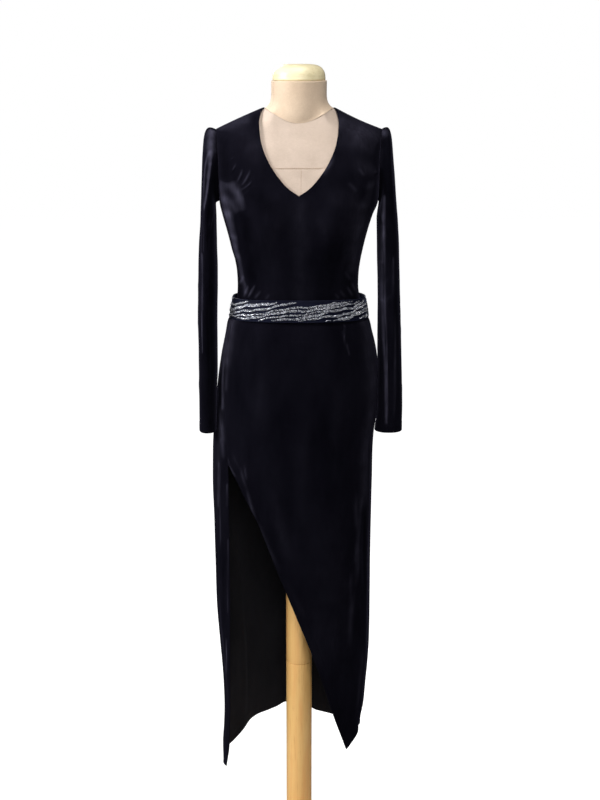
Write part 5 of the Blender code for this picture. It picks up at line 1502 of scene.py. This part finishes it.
ring_line = neck_grid[0].copy()
ring_out = np.stack([ring_line[:, 0], ring_line[:, 1], np.full(len(ring_line), 0.03)], -1)
ring_out /= np.linalg.norm(ring_out, axis=1)[:, None]
towards = np.tile(np.array([0.0, -1.0, 0.12]), (41, 1))
sewn_lines = [
    (chest + np.array([0, -0.2 * MM, 0.0]), towards),
    (chest_line(np.linspace(-0.075, 0.075, 41)) + np.array([0, -0.25 * MM, 1.6 * MM]), towards),
    (centre + np.array([0, -0.2 * MM, 0.0]), towards[:27]),
    (ring_line + ring_out * 0.25 * MM - np.array([0, 0, 1.4 * MM]), ring_out),
]
for line in neck_seams:
    out = np.stack([line[:, 0], line[:, 1], 0 * line[:, 2]], -1)
    out /= np.linalg.norm(out, axis=1)[:, None]
    sewn_lines.append((line + out * 0.1 * MM, out))
seams = stitches("form_stitches", sewn_lines, 2.6 * MM, 3.8 * MM, 0.34 * MM)
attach(seams, "root")


# ------------------------------------------------------------------ turned wood
def turned(name, profile, mat, steps=128):
    profile = np.array(profile)
    k = np.linspace(0, 2 * math.pi, steps + 1)
    k[-1] = 0.0
    grid = np.stack([profile[:, :1] * np.cos(k), profile[:, :1] * np.sin(k),
                     profile[:, 1:] + 0 * k], -1)
    cloth = Cloth()
    cloth.add(grid, False)
    cloth.weld()
    return make(name, cloth.points, cloth.quads, [mat])


def rounded(points, radius, steps=5):
    """A profile whose corners are rounded off."""
    points = [np.array(p, float) for p in points]
    out = [points[0]]
    for a, b, c in zip(points, points[1:], points[2:]):
        u, w = a - b, c - b
        lu, lw = np.linalg.norm(u), np.linalg.norm(w)
        r = min(radius, 0.45 * lu, 0.45 * lw)
        p, q = b + u / lu * r, b + w / lw * r
        for t in np.linspace(0, 1, steps):
            out.append((1 - t) ** 2 * p + 2 * (1 - t) * t * b + t ** 2 * q)
    out.append(points[-1])
    return out


cap = [(0.0001, CAP_BOTTOM_Z), (CAP_R - 0.0015, CAP_BOTTOM_Z), (CAP_R - 0.0004, CAP_BOTTOM_Z + 0.0006),
       (CAP_R, CAP_BOTTOM_Z + 0.0018), (CAP_R, CAP_BOTTOM_Z + 0.0060), (CAP_R - 0.0003, CAP_BOTTOM_Z + 0.0068)]
for k in range(1, 33):
    a = 0.5 * math.pi * k / 32
    cap.append((max(CAP_R * 0.995 * math.cos(a) ** 0.42, 0.0001) if k < 32 else 0.0001,
                CAP_BOTTOM_Z + 0.0065 + (CAP_TOP_Z - CAP_BOTTOM_Z - 0.0065) * math.sin(a)))
wear(turned("form_cap_wood", cap, CAP_WOOD), "form_cap", slot="cap_wood")

upper = rounded([(0.0001, POLE_JOINT_Z), (POLE_R, POLE_JOINT_Z), (POLE_R, 0.50), (POLE_R, 0.75),
                 (POLE_R, FORM_BOTTOM_Z - SEAM), (0.0001, FORM_BOTTOM_Z - SEAM)], 0.0014)
lower = rounded([(0.0001, PLATE_H + SEAM), (POLE_R, PLATE_H + SEAM), (POLE_R, 0.20),
                 (POLE_R, POLE_JOINT_Z - SEAM), (0.0001, POLE_JOINT_Z - SEAM)], 0.0014)
wear(turned("pole_upper_wood", upper, POLE_WOOD), "pole_upper", slot="pole_wood")
wear(turned("pole_lower_wood", lower, POLE_WOOD), "pole_lower", slot="pole_wood")
hole = POLE_R + 0.4 * MM
collar = rounded([(hole, PLATE_H + COLLAR_H * 0.5), (hole, PLATE_H + SEAM), (COLLAR_R, PLATE_H + SEAM),
                  (COLLAR_R, PLATE_H + COLLAR_H * 0.55), (COLLAR_R - 0.004, PLATE_H + COLLAR_H * 0.85),
                  (COLLAR_R - 0.008, PLATE_H + COLLAR_H), (hole, PLATE_H + COLLAR_H),
                  (hole, PLATE_H + COLLAR_H * 0.5)], 0.0025)
wear(turned("foot_collar_wood", collar, FOOT_WOOD), "base_collar", slot="pole_wood")
plate = rounded([(0.0001, 0.0), (PLATE_R - 0.003, 0.0), (PLATE_R, 0.003), (PLATE_R, PLATE_H - 0.006),
                 (PLATE_R - 0.002, PLATE_H - 0.002), (PLATE_R - 0.006, PLATE_H), (0.0001, PLATE_H)], 0.002)
wear(turned("foot_plate_wood", plate, FOOT_WOOD), "base_plate", slot="pole_wood")

# ------------------------------------------------------------------ stage, light, camera
floor_mesh = bpy.data.meshes.new("floor")
floor_mesh.from_pydata([(-9, -6, 0), (9, -6, 0), (9, 12, 0), (-9, 12, 0)], [], [(0, 1, 2, 3)])
floor = bpy.data.objects.new("floor", floor_mesh)
bpy.context.scene.collection.objects.link(floor)
m, tree, shader = fresh("floor_paint")
coord = node(tree, "ShaderNodeTexCoord").outputs["Object"]
tree.links.new(ramp(tree, noise(tree, coord, 3.0, 2.0), [(0.3, (0.50, 0.50, 0.50)), (0.7, (0.53, 0.53, 0.53))]),
               shader.inputs["Base Color"])
shader.inputs["Roughness"].default_value = 0.9
shader.inputs["Emission Color"].default_value = (1.0, 1.0, 1.0, 1.0)
seen = node(tree, "ShaderNodeLightPath").outputs["Is Camera Ray"]
tree.links.new(span(tree, seen, 0.0, 1.0, 0.0, 0.95), shader.inputs["Emission Strength"])
floor_mesh.materials.append(m)

# even white walls, more of them lit on the left than on the right
world = bpy.data.worlds.new("studio")
bpy.context.scene.world = world
world.use_nodes = True
tree = world.node_tree
way = node(tree, "ShaderNodeTexCoord").outputs["Generated"]
split = node(tree, "ShaderNodeSeparateXYZ")
tree.links.new(way, split.inputs[0])
room = ramp(tree, span(tree, split.outputs["X"], -1.0, 1.0, 0.0, 1.0),
            [(0.05, (0.20, 0.20, 0.22)), (0.45, (0.080, 0.080, 0.085)), (0.95, (0.030, 0.026, 0.023))])
seen = node(tree, "ShaderNodeLightPath").outputs["Is Camera Ray"]
white = node(tree, "ShaderNodeMix", data_type="RGBA")
tree.links.new(seen, white.inputs[0])
tree.links.new(room, white.inputs[6])
white.inputs[7].default_value = (1.0, 1.0, 1.0, 1.0)
tree.links.new(white.outputs[2], tree.nodes["Background"].inputs["Color"])
tree.nodes["Background"].inputs["Strength"].default_value = 1.0


def area(name, place, target, size, power, colour=(1, 1, 1)):
    light = bpy.data.lights.new(name, "AREA")
    light.shape, light.size = "DISK", size
    light.energy, light.color = power, colour
    lamp = bpy.data.objects.new(name, light)
    lamp.location = place
    way = np.array(target, float) - np.array(place, float)
    from mathutils import Vector
    lamp.rotation_euler = Vector(way).to_track_quat("-Z", "Y").to_euler()
    bpy.context.scene.collection.objects.link(lamp)
    return lamp


area("key_left", (-2.0, -0.7, 2.25), (0.0, 0.0, 1.4), 0.9, 62.0, (1.0, 0.99, 0.97))
area("top", (0.25, -0.7, 3.6), (0.0, 0.0, 1.5), 1.2, 35.0, (1.0, 0.98, 0.95))
area("front", (0.2, -3.0, 2.4), (0.0, 0.0, 1.1), 1.2, 38.0, (1.0, 0.97, 0.94))
area("fill_right", (2.6, -1.6, 1.9), (0.0, 0.0, 1.2), 1.2, 1.5, (1.0, 0.94, 0.88))
area("back", (-0.9, 3.0, 2.5), (0.0, 0.0, 1.2), 1.4, 30.0, (1.0, 0.99, 0.98))

camera = bpy.data.objects.new("camera", bpy.data.cameras.new("camera"))
bpy.context.scene.collection.objects.link(camera)
bpy.context.scene.camera = camera
camera.data.sensor_width = 36.0
camera.data.lens = 64.26
camera.location = (0.0022, -3.0, 1.825)
camera.rotation_euler = (math.radians(75.85), 0.0, 0.0)
camera.data.clip_start, camera.data.clip_end = 0.05, 60.0
bpy.context.scene.view_settings.view_transform = "Standard"
